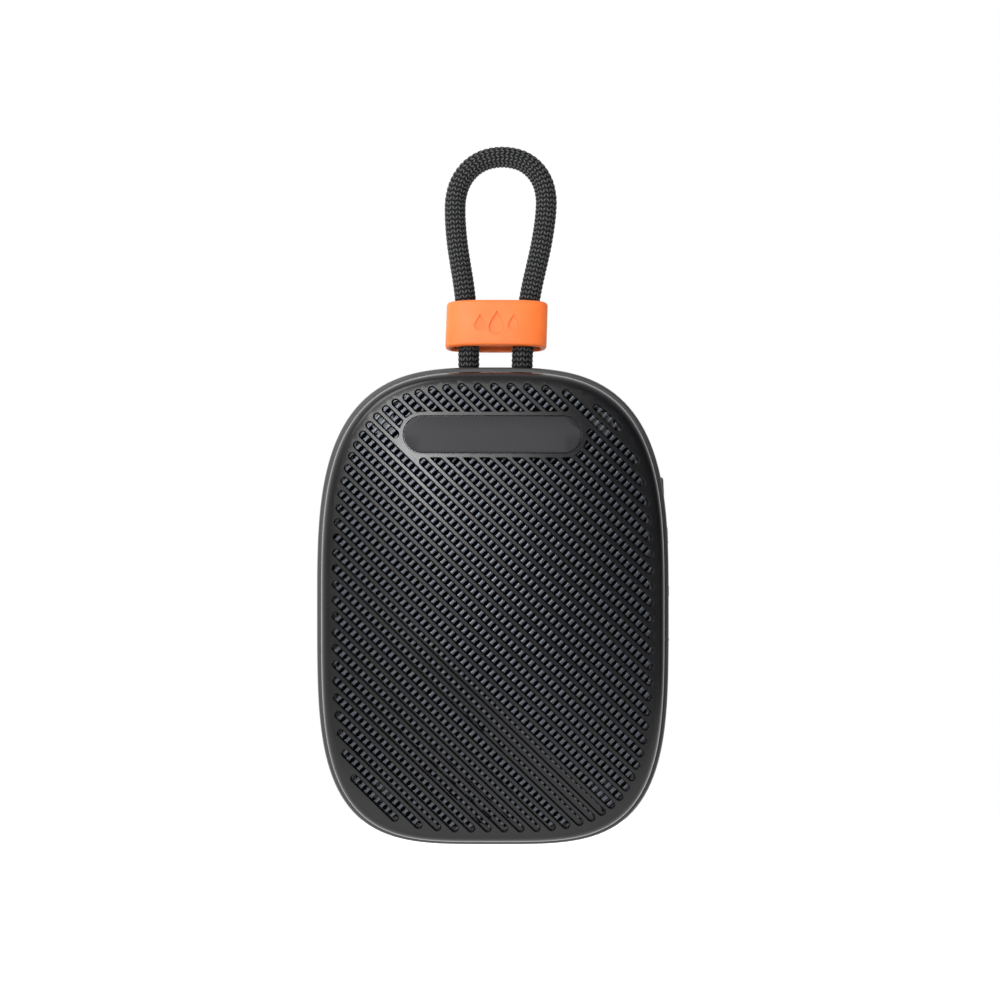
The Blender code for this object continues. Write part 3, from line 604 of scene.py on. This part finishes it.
def slot_end(offset, along, heading, by_badge, inset):
    """The points round one end of a slot: round at the rim, and cut along the border of the badge plate."""
    radius = SLOT_WIDTH / 2 - inset
    turns = [math.pi * step / 8 - math.pi / 2 for step in range(9)]
    round_end = [(radius * math.sin(turn), radius * math.cos(turn)) for turn in turns]
    if not by_badge:
        return [ACROSS * (offset - heading * u) + RUN * (along + heading * v) for u, v in round_end]
    cut = []
    for u, _ in round_end:
        reachable = 0.0
        while reachable < 4.0:
            point = ACROSS * (offset - heading * u) + RUN * (along + heading * reachable)
            if off_badge(point) <= BADGE_BORDER + inset:
                break
            reachable += 0.02
        corner = max(0.0, abs(u) - (radius - 0.3)) / 0.3
        cut.append((u, reachable - 0.3 * (1 - math.sqrt(max(0.0, 1 - corner**2)))))
    if max(v for _, v in cut) > 3.6:
        return [ACROSS * (offset - heading * u) + RUN * (along + heading * v) for u, v in round_end]
    return [ACROSS * (offset - heading * u) + RUN * (along + heading * v) for u, v in cut]


def slot_outline(span, inset):
    offset, start, end, start_mark, end_mark = span
    return slot_end(offset, end, 1, end_mark, inset) + slot_end(offset, start, -1, start_mark, inset)


def stadium(length, width, steps=16):
    """A flat outline with round ends, its length along the first axis."""
    radius, half, points = width / 2, (length - width) / 2, []
    for end in (1, -1):
        for step in range(steps + 1):
            turn = math.pi * (step / steps - 0.5)
            points.append(Vector((end * (half + radius * math.cos(turn)), end * radius * math.sin(turn))))
    return points


def sunk(bm, levels):
    """Sinks a flat outline through levels of (points, y), and returns its top edges and its last face."""
    points, y = levels[0]
    face = bm.faces.new([bm.verts.new((point.x, y, point.y)) for point in points])
    top = list(face.edges)
    for points, y in levels[1:]:
        before = {tuple(round(c, 4) for c in vert.co): point for vert, point in zip(face.verts, points)}
        face = bmesh.ops.extrude_discrete_faces(bm, faces=[face])["faces"][0]
        for vert in face.verts:
            point = before[tuple(round(c, 4) for c in vert.co)]
            vert.co = Vector((point.x, y, point.y))
    return top, face


def crowned(bm, lowest, step=4.0):
    """Cuts a flat piece into short lengths and swells what lies in front of lowest into the face's crown."""
    for number in range(-13, 14):
        for normal in ((1, 0, 0), (0, 0, 1)):
            geom = bm.verts[:] + bm.edges[:] + bm.faces[:]
            bmesh.ops.bisect_plane(bm, geom=geom, dist=1e-5, plane_co=Vector(normal) * number * step, plane_no=normal)
    for vert in bm.verts:
        share = reach(vert.co.x, vert.co.z, HALF_WIDTH - FACE_EDGE, HALF_HEIGHT - FACE_EDGE)
        if vert.co.y < lowest and share < 1:
            vert.co.y -= CROWN * (1 - share**2)


bm = bmesh.new()
spans = list(slot_spans())
top_edges, low_edges, low_faces = [], [], []
for span in spans:
    levels = [
        (slot_outline(span, 0.0), FACE_Y),
        (slot_outline(span, SLOT_EASE), FACE_Y + SLOT_EASE),
        (slot_outline(span, SLOT_EASE + SLOT_DRAFT), FACE_Y + FACE_WALL),
    ]
    top, last = sunk(bm, levels)
    top_edges += top
    low_edges += list(last.edges)
    low_faces.append(last)
bmesh.ops.delete(bm, geom=low_faces, context="FACES_ONLY")
centre = Vector((0, BADGE_Z))
levels = []
for widening, deep in ((0.16, 0.0), (0.0, 0.08), (0.0, 0.8)):
    grow = 2 * BADGE_GAP + widening
    pocket = stadium(BADGE_LENGTH + grow, BADGE_HEIGHT + grow)
    levels.append(([point + centre for point in pocket], FACE_Y + deep))
top, last = sunk(bm, levels)
top_edges += top
rim = [
    (FACE_EDGE, FACE_Y), (2.9, -7.9), (2.5, -7.68), (2.15, -7.35), (1.87, -6.93), (1.66, -6.4), (1.52, -5.8),
    (1.44, -5.1), (1.4, -4.4), (1.4, -0.4), (1.55, -0.18), (3.2, -0.15), (3.2, -4.4), (3.65, -5.6),
    (4.6, FACE_Y + FACE_WALL),
]
face_ring, inner_ring = drawn_out(bm, rim)
bmesh.ops.triangle_fill(bm, use_beauty=True, use_dissolve=False, edges=face_ring + top_edges, normal=(0, -1, 0))
bmesh.ops.triangle_fill(bm, use_beauty=True, use_dissolve=False, edges=inner_ring + low_edges, normal=(0, 1, 0))
crowned(bm, FACE_Y + FACE_WALL + 0.01)
cover = seated("cover_shell", bm, 25.0)
charcoal = Finish("cover_charcoal", (0.01, 0.01, 0.011), 0.25, Specular_IOR_Level=0.3)
at = charcoal.place()
grain = charcoal.noise(at, 0.22, 2.0, 0.6)
cloud = charcoal.noise(at, 9.0, 3.0)
charcoal.give("Base Color", charcoal.blend(cloud, (0.0035, 0.0035, 0.0043), (0.006, 0.0058, 0.0066)))
charcoal.give("Roughness", charcoal.mapped(grain * 0.5 + cloud * 0.5, 0.3, 0.7, 0.22, 0.28))
charcoal.bump(grain, 0.004, 0.5)
finished(cover, "housing", charcoal, "cover_plastic", "front_cover")


# Under the slots lies a pressed plate with a row of oblong holes below each slot, so that only its narrow bars show
# between the ribs. It is a satin blue-grey metal, a little brighter than the cover.

HOLE_PITCH, HOLE_SHIFT, HOLE_LONG, HOLE_WIDE = 1.606, -0.196, 1.5, 0.84
PLATE_Y = FACE_Y + FACE_WALL + 0.04


def oblong(grow):
    """A hole's outline, long across the slot and narrow along it."""
    wide = HOLE_WIDE / 2 + grow
    half = (HOLE_LONG - HOLE_WIDE) / 2
    points = []
    for end in (1, -1):
        for step in range(5):
            turn = math.pi * (step / 4 - 0.5)
            points.append((-end * wide * math.sin(turn), end * (half + wide * math.cos(turn))))
    return points


def flat_loop(bm, points, y):
    verts = [bm.verts.new((u, y, v)) for u, v in points]
    return [bm.edges.new(pair) for pair in zip(verts, verts[1:] + verts[:1])]


bm = bmesh.new()
half_u, half_v = HOLE_PITCH / 2, 1.02
corners = [(-half_u, -half_v), (half_u, -half_v), (half_u, half_v), (-half_u, half_v)]
levels = [(0.13, 0.0), (0.04, 0.035), (0.0, 0.13), (0.0, 0.6)]
rings = [flat_loop(bm, oblong(grow), PLATE_Y + deep) for grow, deep in levels]
for low, high in zip(rings, rings[1:]):
    bmesh.ops.bridge_loops(bm, edges=low + high)
for ring, y, normal in ((rings[0], PLATE_Y, (0, -1, 0)), (rings[-1], PLATE_Y + 0.6, (0, 1, 0))):
    border = flat_loop(bm, corners, y)
    bmesh.ops.triangle_fill(bm, use_beauty=True, use_dissolve=False, edges=ring + border, normal=normal)


first_cell = bm.verts[:] + bm.edges[:] + bm.faces[:]
cells = [copied(bm, first_cell, (HOLE_PITCH * number, 0, 0)) for number in range(64)]
for offset, start, end, _, _ in spans:
    first = math.ceil((start - 1.1 - HOLE_SHIFT) / HOLE_PITCH)
    last = math.floor((end + 1.1 - HOLE_SHIFT) / HOLE_PITCH)
    strip = [item for cell in cells[: last - first + 1] for item in cell]
    copied(bm, strip, (HOLE_SHIFT + first * HOLE_PITCH, 0, offset))
pattern = [item for cell in [first_cell, *cells] for item in cell if isinstance(item, bmesh.types.BMVert)]
bmesh.ops.delete(bm, geom=pattern, context="VERTS")
bmesh.ops.rotate(bm, matrix=Matrix.Rotation(SLOT_ANGLE, 3, "Y"), verts=bm.verts)
for vert in bm.verts:
    share = reach(vert.co.x, vert.co.z, HALF_WIDTH - FACE_EDGE, HALF_HEIGHT - FACE_EDGE)
    vert.co.y -= CROWN * (1 - min(1.0, share) ** 2)
plate = seated("grille_plate", bm, 40.0)
metal = Finish("plate_metal", (0.2, 0.215, 0.24), 0.34, Metallic=0.85)
at = metal.place()
brushed = metal.noise(at, 0.5, 3.0)
metal.give("Base Color", metal.blend(brushed, (0.048, 0.054, 0.064), (0.072, 0.077, 0.087)))
metal.give("Roughness", metal.mapped(brushed, 0.3, 0.7, 0.28, 0.4))
finished(plate, "housing", metal, "cover_plastic")


# The badge plate is a thin satin strip with round ends. It drops into the pocket in the cover, follows the crown
# and leaves a fine dark line all round.

bm = bmesh.new()
plate_levels = [(0.0, 0.72), (0.0, 0.14), (0.06, 0.04), (0.16, 0.0)]
rows = []
for inset, deep in plate_levels:
    points = stadium(BADGE_LENGTH - 2 * inset, BADGE_HEIGHT - 2 * inset, 18)
    rows.append(flat_loop(bm, [point + Vector((0, BADGE_Z)) for point in points], FACE_Y + 0.02 + deep))
for low, high in zip(rows, rows[1:]):
    bmesh.ops.bridge_loops(bm, edges=low + high)
bmesh.ops.holes_fill(bm, edges=rows[0] + rows[-1], sides=0)
crowned(bm, FACE_Y + 2.0)
badge = seated("badge_inlay", bm, 25.0)
satin = Finish("badge_satin", (0.014, 0.014, 0.016), 0.46, Specular_IOR_Level=0.3)
at = satin.place()
fine = satin.noise(at, 0.12, 2.0)
satin.give("Base Color", satin.blend(satin.noise(at, 6.0, 2.0), (0.009, 0.009, 0.0115), (0.0125, 0.0125, 0.0155)))
satin.give("Roughness", satin.mapped(fine, 0.3, 0.7, 0.42, 0.52))
satin.bump(fine, 0.006, 0.5)
finished(badge, "housing", satin, "badge_satin", "badge_plate")


# The rear shell is a deep tray of the same plastic, a shade lighter, with a rounded back. Its openings are for the
# key strip, the charging flap, two rubber feet, four screws and the two ends of the cord.

SIDE_Y, STRIP_Z, PORT_Z, FOOT_Z = 5.5, 9.0, 9.5, 30.0
POSTS = [(x, z) for z in (42.0, -42.0) for x in (-25.0, 25.0)]
GAP = 0.25
SHELL_OUTER = [
    (0.75, 0.15), (0.35, 0.25), (0.15, 0.6), (0.05, 1.3), (0.0, 2.4), (0.0, 6.2), (0.13, 7.6), (0.5, 9.2),
    (1.15, 10.9), (2.0, 12.4), (3.2, 13.8), (4.6, 14.95), (6.3, 15.85), (8.2, 16.45), (10.3, 16.82), (12.5, 17.0),
]
SHELL_INNER = [
    (13.0, 15.2), (9.2, 15.0), (6.2, 14.0), (3.9, 12.0), (2.3, 9.0), (1.8, 6.0), (1.8, 2.6), (2.1, 0.4),
]


def shell_body(stations):
    bm = bmesh.new()
    first, last = drawn_out(bm, stations)
    bmesh.ops.holes_fill(bm, edges=first + last, sides=0)
    return bm


def slab(bm, points, low, high, place):
    """Adds a straight closed block of a flat outline. place turns two flat coordinates and a depth into a point."""
    ends = []
    for depth in (low, high):
        verts = [bm.verts.new(place(u, v, depth)) for u, v in points]
        ends.append([bm.edges.new(pair) for pair in zip(verts, verts[1:] + verts[:1])])
    bmesh.ops.bridge_loops(bm, edges=ends[0] + ends[1])
    bmesh.ops.holes_fill(bm, edges=ends[0] + ends[1], sides=0)


def block_of(points, low, high, place):
    bm = bmesh.new()
    slab(bm, points, low, high, place)
    return bm


def on_flank(z, y=SIDE_Y):
    return lambda u, v, w: (w, y + v, z + u)


def facing_back(x, z):
    return lambda u, v, w: (x + u, w, z + v)


def standing(x, y):
    return lambda u, v, w: (x + u, y + v, w)


def tool(points, low, high, place):
    return seated("tool", block_of(points, low, high, place))


def circle_of(radius):
    return [(radius * math.cos(step * math.pi / 14), radius * math.sin(step * math.pi / 14)) for step in range(28)]


CORD_XS = (EXIT_X - 6.2, EXIT_X + 6.2)
shell = seated("rear_shell_moulded", shell_body(SHELL_INNER + SHELL_OUTER), 30.0)
bosses = [
    tool([(-1.9, -3.9), (20.9, -3.9), (20.9, 3.9), (-1.9, 3.9)], -39.4, -34.9, on_flank(0)),
    *[tool(circle_of(3.1), 1.0, 14.9, facing_back(x, z)) for x, z in POSTS],
]
carved(shell, *bosses, operation="UNION", smooth=30.0)
tools = [
    tool(stadium(50.0 + 2 * GAP, 7.0 + 2 * GAP), 34.5, 45.0, on_flank(STRIP_Z)),
    tool(stadium(20.4 + 2 * GAP, 6.8 + 2 * GAP), -45.0, -38.1, on_flank(PORT_Z)),
    tool(stadium(13.0, 6.9), -45.0, -37.2, on_flank(PORT_Z)),
    tool(stadium(9.54, 3.8), -45.0, -30.0, on_flank(PORT_Z)),
    *[tool(stadium(36.0 + 2 * GAP, 6.5 + 2 * GAP), 16.3, 20.0, facing_back(0, z)) for z in (FOOT_Z, -FOOT_Z)],
    *[tool(circle_of(2.3), 12.9, 19.0, facing_back(x, z)) for x, z in POSTS],
    *[tool(circle_of(CORD_RADIUS + 0.25), 50.0, 60.0, standing(x, EXIT_Y)) for x in CORD_XS],
]
carved(shell, *tools, smooth=30.0)
ease = shell.modifiers.new("eased_openings", "BEVEL")
ease.width = 0.22 * MM
ease.segments = 2
ease.limit_method = "ANGLE"
ease.angle_limit = math.radians(50)
case = Finish("shell_charcoal", (0.04, 0.04, 0.043), 0.42)
at = case.place()
grain = case.noise(at, 0.22, 2.0, 0.6)
cloud = case.noise(at, 9.0, 3.0)
case.give("Base Color", case.blend(cloud, (0.014, 0.014, 0.0155), (0.021, 0.0205, 0.0225)))
case.give("Roughness", case.mapped(grain * 0.5 + cloud * 0.5, 0.3, 0.7, 0.36, 0.5))
case.bump(grain, 0.012, 0.5)
finished(shell, "housing", case, "shell_plastic", "rear_shell")

# A soft rubber strip lies flush in the right flank, with four keys in it. Each key is a rounded cap with its own raised
# mark: power, plus, a play triangle and minus. A pinhole light sits below them.

WALL = 1.8
KEY_LENGTH, KEY_WIDTH, KEY_PROUD = 7.6, 4.2, 0.1
KEYS = {"key_power": 26.0, "key_volume_up": 14.7, "key_play": 3.3, "key_volume_down": -8.0}
KEY_BODIES = {name: f"{name}_body" for name in KEYS}
LIGHT_Z = -14.1


def eased(made, width, segments=2, angle=50):
    """Rounds the sharp edges of a piece."""
    ease = made.modifiers.new("eased_edges", "BEVEL")
    ease.width = width * MM
    ease.segments = segments
    ease.limit_method = "ANGLE"
    ease.angle_limit = math.radians(angle)
    return made


def flank_x(z):
    power = SQUARE_ABOVE if z > 0 else SQUARE_BELOW
    return HALF_WIDTH * (1 - abs(z / HALF_HEIGHT) ** power) ** (1 / power)


def stacked(bm, levels, place, length, width):
    """A closed block with round ends through (inset, depth) levels."""
    loops = []
    for inset, depth in levels:
        points = stadium(length - 2 * inset, width - 2 * inset, 10)
        verts = [bm.verts.new(place(u, v, depth)) for u, v in points]
        loops.append([bm.edges.new(pair) for pair in zip(verts, verts[1:] + verts[:1])])
    for low, high in zip(loops, loops[1:]):
        bmesh.ops.bridge_loops(bm, edges=low + high)
    bmesh.ops.holes_fill(bm, edges=loops[0] + loops[-1], sides=0)


def bar(length, width):
    return [(-length / 2, -width / 2), (length / 2, -width / 2), (length / 2, width / 2), (-length / 2, width / 2)]


def arc_band(radius, width, start, end, steps=20):
    """A flat band along a part of a circle."""
    turns = [start + (end - start) * step / steps for step in range(steps + 1)]
    outer = [(radius * math.cos(turn), radius * math.sin(turn)) for turn in turns]
    inner = [((radius - width) * math.cos(turn), (radius - width) * math.sin(turn)) for turn in reversed(turns)]
    return outer + inner


MARKS = {
    "key_power": [
        arc_band(1.25, 0.34, math.radians(38), math.radians(322)),
        [(0.35, -0.17), (1.55, -0.17), (1.55, 0.17), (0.35, 0.17)],
    ],
    "key_volume_up": [bar(2.5, 0.42), bar(0.42, 2.5)],
    "key_play": [[(-1.15, -0.85), (1.15, -0.85), (0.0, 1.15)]],
    "key_volume_down": [bar(0.42, 2.5)],
}

strip = seated("key_strip", shell_body(SHELL_INNER + SHELL_OUTER), 30.0)
outline = tool(stadium(50.0, 7.0), 34.5, 45.0, on_flank(STRIP_Z))
carved(strip, outline, operation="INTERSECT", smooth=30.0)
windows = [tool(stadium(KEY_LENGTH + 2 * GAP, KEY_WIDTH + 2 * GAP), 30.0, 45.0, on_flank(z)) for z in KEYS.values()]
carved(strip, *windows, tool(circle_of(0.95), 30.0, 45.0, on_flank(LIGHT_Z)), smooth=30.0)
eased(strip, 0.18)
rubber = Finish("soft_key_rubber", (0.02, 0.02, 0.021), 0.6)
at = rubber.place()
dusty = rubber.noise(at, 1.6, 4.0, 0.6)
powder = rubber.noise(at, 0.14, 2.0)
rubber.give("Base Color", rubber.blend(dusty, (0.016, 0.016, 0.017), (0.03, 0.03, 0.031)))
rubber.give("Roughness", rubber.mapped(powder, 0.3, 0.7, 0.55, 0.72))
rubber.bump(powder, 0.014, 0.5)
finished(strip, "housing", rubber, "strip_rubber", "control_strip")

cap_rubber = Finish("key_cap_rubber", (0.03, 0.03, 0.031), 0.52)
at = cap_rubber.place()
powder = cap_rubber.noise(at, 0.14, 2.0)
worn = cap_rubber.noise(at, 2.0, 3.0)
cap_rubber.give("Base Color", cap_rubber.blend(worn, (0.022, 0.022, 0.023), (0.034, 0.034, 0.035)))
cap_rubber.give("Roughness", cap_rubber.mapped(powder, 0.3, 0.7, 0.46, 0.62))
cap_rubber.bump(powder, 0.012, 0.5)
print_grey = Finish("mark_grey", (0.2, 0.2, 0.2), 0.5)
at = print_grey.place()
print_grey.give("Base Color", print_grey.blend(print_grey.noise(at, 0.5, 3.0), (0.16, 0.16, 0.16), (0.26, 0.26, 0.26)))
for name, z in KEYS.items():
    face = flank_x(z)
    bm = bmesh.new()
    cap = [
        (0.0, face - WALL - 1.5), (0.0, face - 0.3), (0.06, face - 0.12), (0.22, face + 0.03),
        (0.5, face + KEY_PROUD),
    ]
    stacked(bm, cap, on_flank(z), KEY_LENGTH, KEY_WIDTH)
    stacked(bm, [(0.0, face - WALL - 1.8), (0.0, face - WALL - 1.2)], on_flank(z), KEY_LENGTH + 1.6, KEY_WIDTH + 1.6)
    slab(bm, circle_of(1.5), 35.9, face - WALL - 1.6, on_flank(z))
    finished(seated(f"{name}_cap", bm, 30.0), KEY_BODIES[name], cap_rubber, "key_rubber", name)
    bm = bmesh.new()
    for points in MARKS[name]:
        slab(bm, points, face - 0.2, face + KEY_PROUD + 0.13, on_flank(z))
    finished(seated(f"{name}_mark", bm, 30.0), KEY_BODIES[name], print_grey, "key_rubber")


# The charging flap closes a pocket in the left flank. It is a flush rubber door with a shallow finger scoop near its
# free end, and a soft plug behind it that fills the mouth of the socket.

flap = seated("port_door", shell_body(SHELL_INNER + SHELL_OUTER), 30.0)
carved(flap, tool(stadium(20.4, 6.8), -45.0, -36.0, on_flank(PORT_Z)), operation="INTERSECT", smooth=30.0)
bm = bmesh.new()
scoop = [(0.0, -41.5), (0.35, -40.3), (0.9, -40.05)]
stacked(bm, scoop, on_flank(PORT_Z + 7.4), 2.6, 2.4)
carved(flap, seated("scoop_tool", bm), smooth=30.0)
eased(flap, 0.2)
plug_bm = bmesh.new()
stacked(plug_bm, [(0.5, -37.9), (0.15, -38.05), (0.0, -38.3), (0.0, -39.4)], on_flank(PORT_Z), 11.0, 5.0)
door_rubber = Finish("port_rubber", (0.024, 0.024, 0.025), 0.6)
at = door_rubber.place()
powder = door_rubber.noise(at, 0.16, 2.0)
cloud = door_rubber.noise(at, 4.0, 3.0)
door_rubber.give("Base Color", door_rubber.blend(cloud, (0.019, 0.019, 0.02), (0.03, 0.03, 0.031)))
door_rubber.give("Roughness", door_rubber.mapped(powder, 0.3, 0.7, 0.52, 0.68))
door_rubber.bump(powder, 0.014, 0.5)
finished(flap, "flap", door_rubber, "flap_rubber", "port_flap")
finished(seated("port_plug", plug_bm, 30.0), "flap", door_rubber, "flap_rubber")


# Two rubber feet are glued in shallow seats across the back, each with five fine grooves along it, so that the
# speaker lies or leans without sliding. Four cross-head screws hold the halves together.

for side, z in (("upper", FOOT_Z), ("lower", -FOOT_Z)):
    bm = bmesh.new()
    stacked(bm, [(0.0, 16.6), (0.0, 17.5), (0.08, 17.68), (0.3, 17.8)], facing_back(0, z), 36.0, 6.5)
    foot = seated(f"rear_foot_{side}_pad", bm, 30.0)
    grooves = [tool(bar(30.0 - 2.0 * abs(k), 0.4), 17.55, 18.5, facing_back(0, z + 1.0 * k)) for k in (-2, -1, 0, 1, 2)]
    carved(foot, *grooves, smooth=30.0)
    finished(foot, "housing", rubber, "foot_rubber", f"rear_foot_{side}")

bm = bmesh.new()
for x, z in POSTS:
    slab(bm, circle_of(2.6), -5.9, -4.65, facing_back(x, z))
finished(seated("cover_post_tips", bm), "housing", charcoal, "cover_plastic")
screw_steel = Finish("screw_steel", (0.5, 0.5, 0.52), 0.3, Metallic=1.0)
at = screw_steel.place()
tarnish = screw_steel.noise(at, 0.8, 4.0)
screw_steel.give("Base Color", screw_steel.blend(tarnish, (0.38, 0.38, 0.4), (0.6, 0.6, 0.62)))
screw_steel.give("Roughness", screw_steel.mapped(tarnish, 0.3, 0.7, 0.24, 0.42))
for number, (x, z) in enumerate(POSTS, 1):
    bm = bmesh.new()
    rod = [(1.95, 13.2), (1.95, 14.1), (1.8, 14.5), (1.4, 14.8), (0.8, 14.9)]
    shank = [(0.1, -4.6), (1.1, -4.2), (1.1, 13.3)]
    for profile in (rod, shank):
        loops = [flat_loop(bm, [(x + r * u, z + r * v) for u, v in circle_of(1)], y) for r, y in profile]
        for low, high in zip(loops, loops[1:]):
            bmesh.ops.bridge_loops(bm, edges=low + high)
        bmesh.ops.holes_fill(bm, edges=loops[0] + loops[-1], sides=0)
    screw = seated(f"housing_screw_{number}_head", bm, 35.0)
    cross = [tool(points, 14.1, 15.5, facing_back(x, z)) for points in (bar(2.1, 0.5), bar(0.5, 2.1))]
    carved(screw, *cross, smooth=35.0)
    finished(screw, "housing", screw_steel, "steel", f"housing_screw_{number}")


# What lies inside keeps its working shape and takes the finish of what it is: the driver, the boards, the battery,
# the leads, the seal and the cloth behind the grille.


def spotted(name, dark, light, rough, spot=2.0, bumpy=0.01, **fixed):
    """A finish whose colour and roughness drift a little, over a fine grain."""
    made = Finish(name, dark, rough, **fixed)
    here = made.place()
    drift = made.noise(here, spot, 3.0)
    fine = made.noise(here, 0.18, 2.0)
    made.give("Base Color", made.blend(drift, dark, light))
    made.give("Roughness", made.mapped(fine, 0.3, 0.7, max(0.05, rough - 0.08), rough + 0.08))
    made.bump(fine, bumpy, 0.5)
    return made


cloth = Finish("acoustic_weave", (0.002, 0.002, 0.002), 0.9, Specular_IOR_Level=0.1)
here = cloth.place()
warp = cloth.part(here, "X") * (2 * math.pi / (0.35 * MM))
weft = cloth.part(here, "Z") * (2 * math.pi / (0.35 * MM))
weave = warp.math("SINE") * weft.math("SINE") * 0.5 + 0.5
cloth.give("Base Color", cloth.blend(weave, (0.001, 0.001, 0.001), (0.003, 0.003, 0.003)))
cloth.bump(weave, 0.05, 0.6)

board = Finish("board_green", (0.01, 0.09, 0.035), 0.35, Coat_Weight=0.3)
here = board.place()
track_inputs = {"Vector": here, "Scale": 1 / (1.6 * MM)}
tracks = board.node("ShaderNodeTexVoronoi", {"distance": "MANHATTAN"}, track_inputs, "Distance")
board.give("Base Color", board.blend(board.mapped(tracks, 0.35, 0.5), (0.008, 0.075, 0.03), (0.02, 0.16, 0.06)))
board.bump(tracks, 0.03, 0.5)

paper = Finish("cone_polymer", (0.02, 0.02, 0.022), 0.5)
here = paper.place()
ripple = paper.noise(paper.stretched(here, (1.0, 0.2, 1.0)), 0.5, 4.0)
paper.give("Base Color", paper.blend(ripple, (0.014, 0.014, 0.016), (0.03, 0.03, 0.033)))
paper.bump(ripple, 0.03, 0.6)

wound = Finish("copper_coil", (0.75, 0.3, 0.12), 0.3, Metallic=1.0)
here = wound.place()
turns = (wound.part(here, "Y") * (2 * math.pi / (0.25 * MM))).math("SINE") * 0.5 + 0.5
wound.give("Base Color", wound.blend(turns, (0.45, 0.16, 0.06), (0.85, 0.38, 0.16)))
wound.bump(turns, 0.05, 0.8)

lens = spotted("clear_lens", (0.75, 0.78, 0.8), (0.85, 0.87, 0.9), 0.18, 1.0, 0.004, Coat_Weight=0.5)
INSIDE = [
    (cloth, "acoustic_cloth", ["acoustic_mesh"]),
    (board, "circuit_board", ["main_board", "button_board", "radio_module"]),
    (spotted("chip_black", (0.012, 0.012, 0.013), (0.02, 0.02, 0.021), 0.4), "chip_black",
     ["amplifier_chip", "charge_chip", *[f"tact_switch_{k}" for k in range(1, 5)]]),
    (spotted("battery_wrap", (0.02, 0.09, 0.3), (0.03, 0.12, 0.36), 0.3, 5.0, 0.02, Coat_Weight=0.4), "battery_wrap",
     ["battery"]),
    (spotted("inner_plastic", (0.02, 0.02, 0.021), (0.035, 0.035, 0.036), 0.5, 5.0), "inner_plastic",
     ["baffle_plate", "driver_basket", "strap_anchor"]),
    (spotted("inner_rubber", (0.012, 0.012, 0.012), (0.022, 0.022, 0.022), 0.7, 3.0, 0.02), "inner_rubber",
     ["driver_surround", "housing_seal", "battery_pad", "battery_lead", "speaker_lead"]),
    (paper, "cone_polymer", ["driver_cone", "driver_dust_cap", "driver_spider"]),
    (wound, "copper_coil", ["driver_voice_coil"]),
    (spotted("ferrite", (0.03, 0.03, 0.032), (0.055, 0.054, 0.055), 0.65, 1.0, 0.03), "ferrite", ["driver_magnet"]),
    (screw_steel, "steel",
     ["driver_top_plate", "driver_yoke", "usb_socket", "cord_crimp_left", "cord_crimp_right", "board_screw_1",
      "board_screw_2", *[f"driver_screw_{k}" for k in range(1, 5)]]),
    (lens, "clear_lens", ["light_pipe"]),
]
for finish, slot_name, names in INSIDE:
    for name in names:
        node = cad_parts[name]
        node.data.materials.clear()
        node.data.materials.append(finish.material)
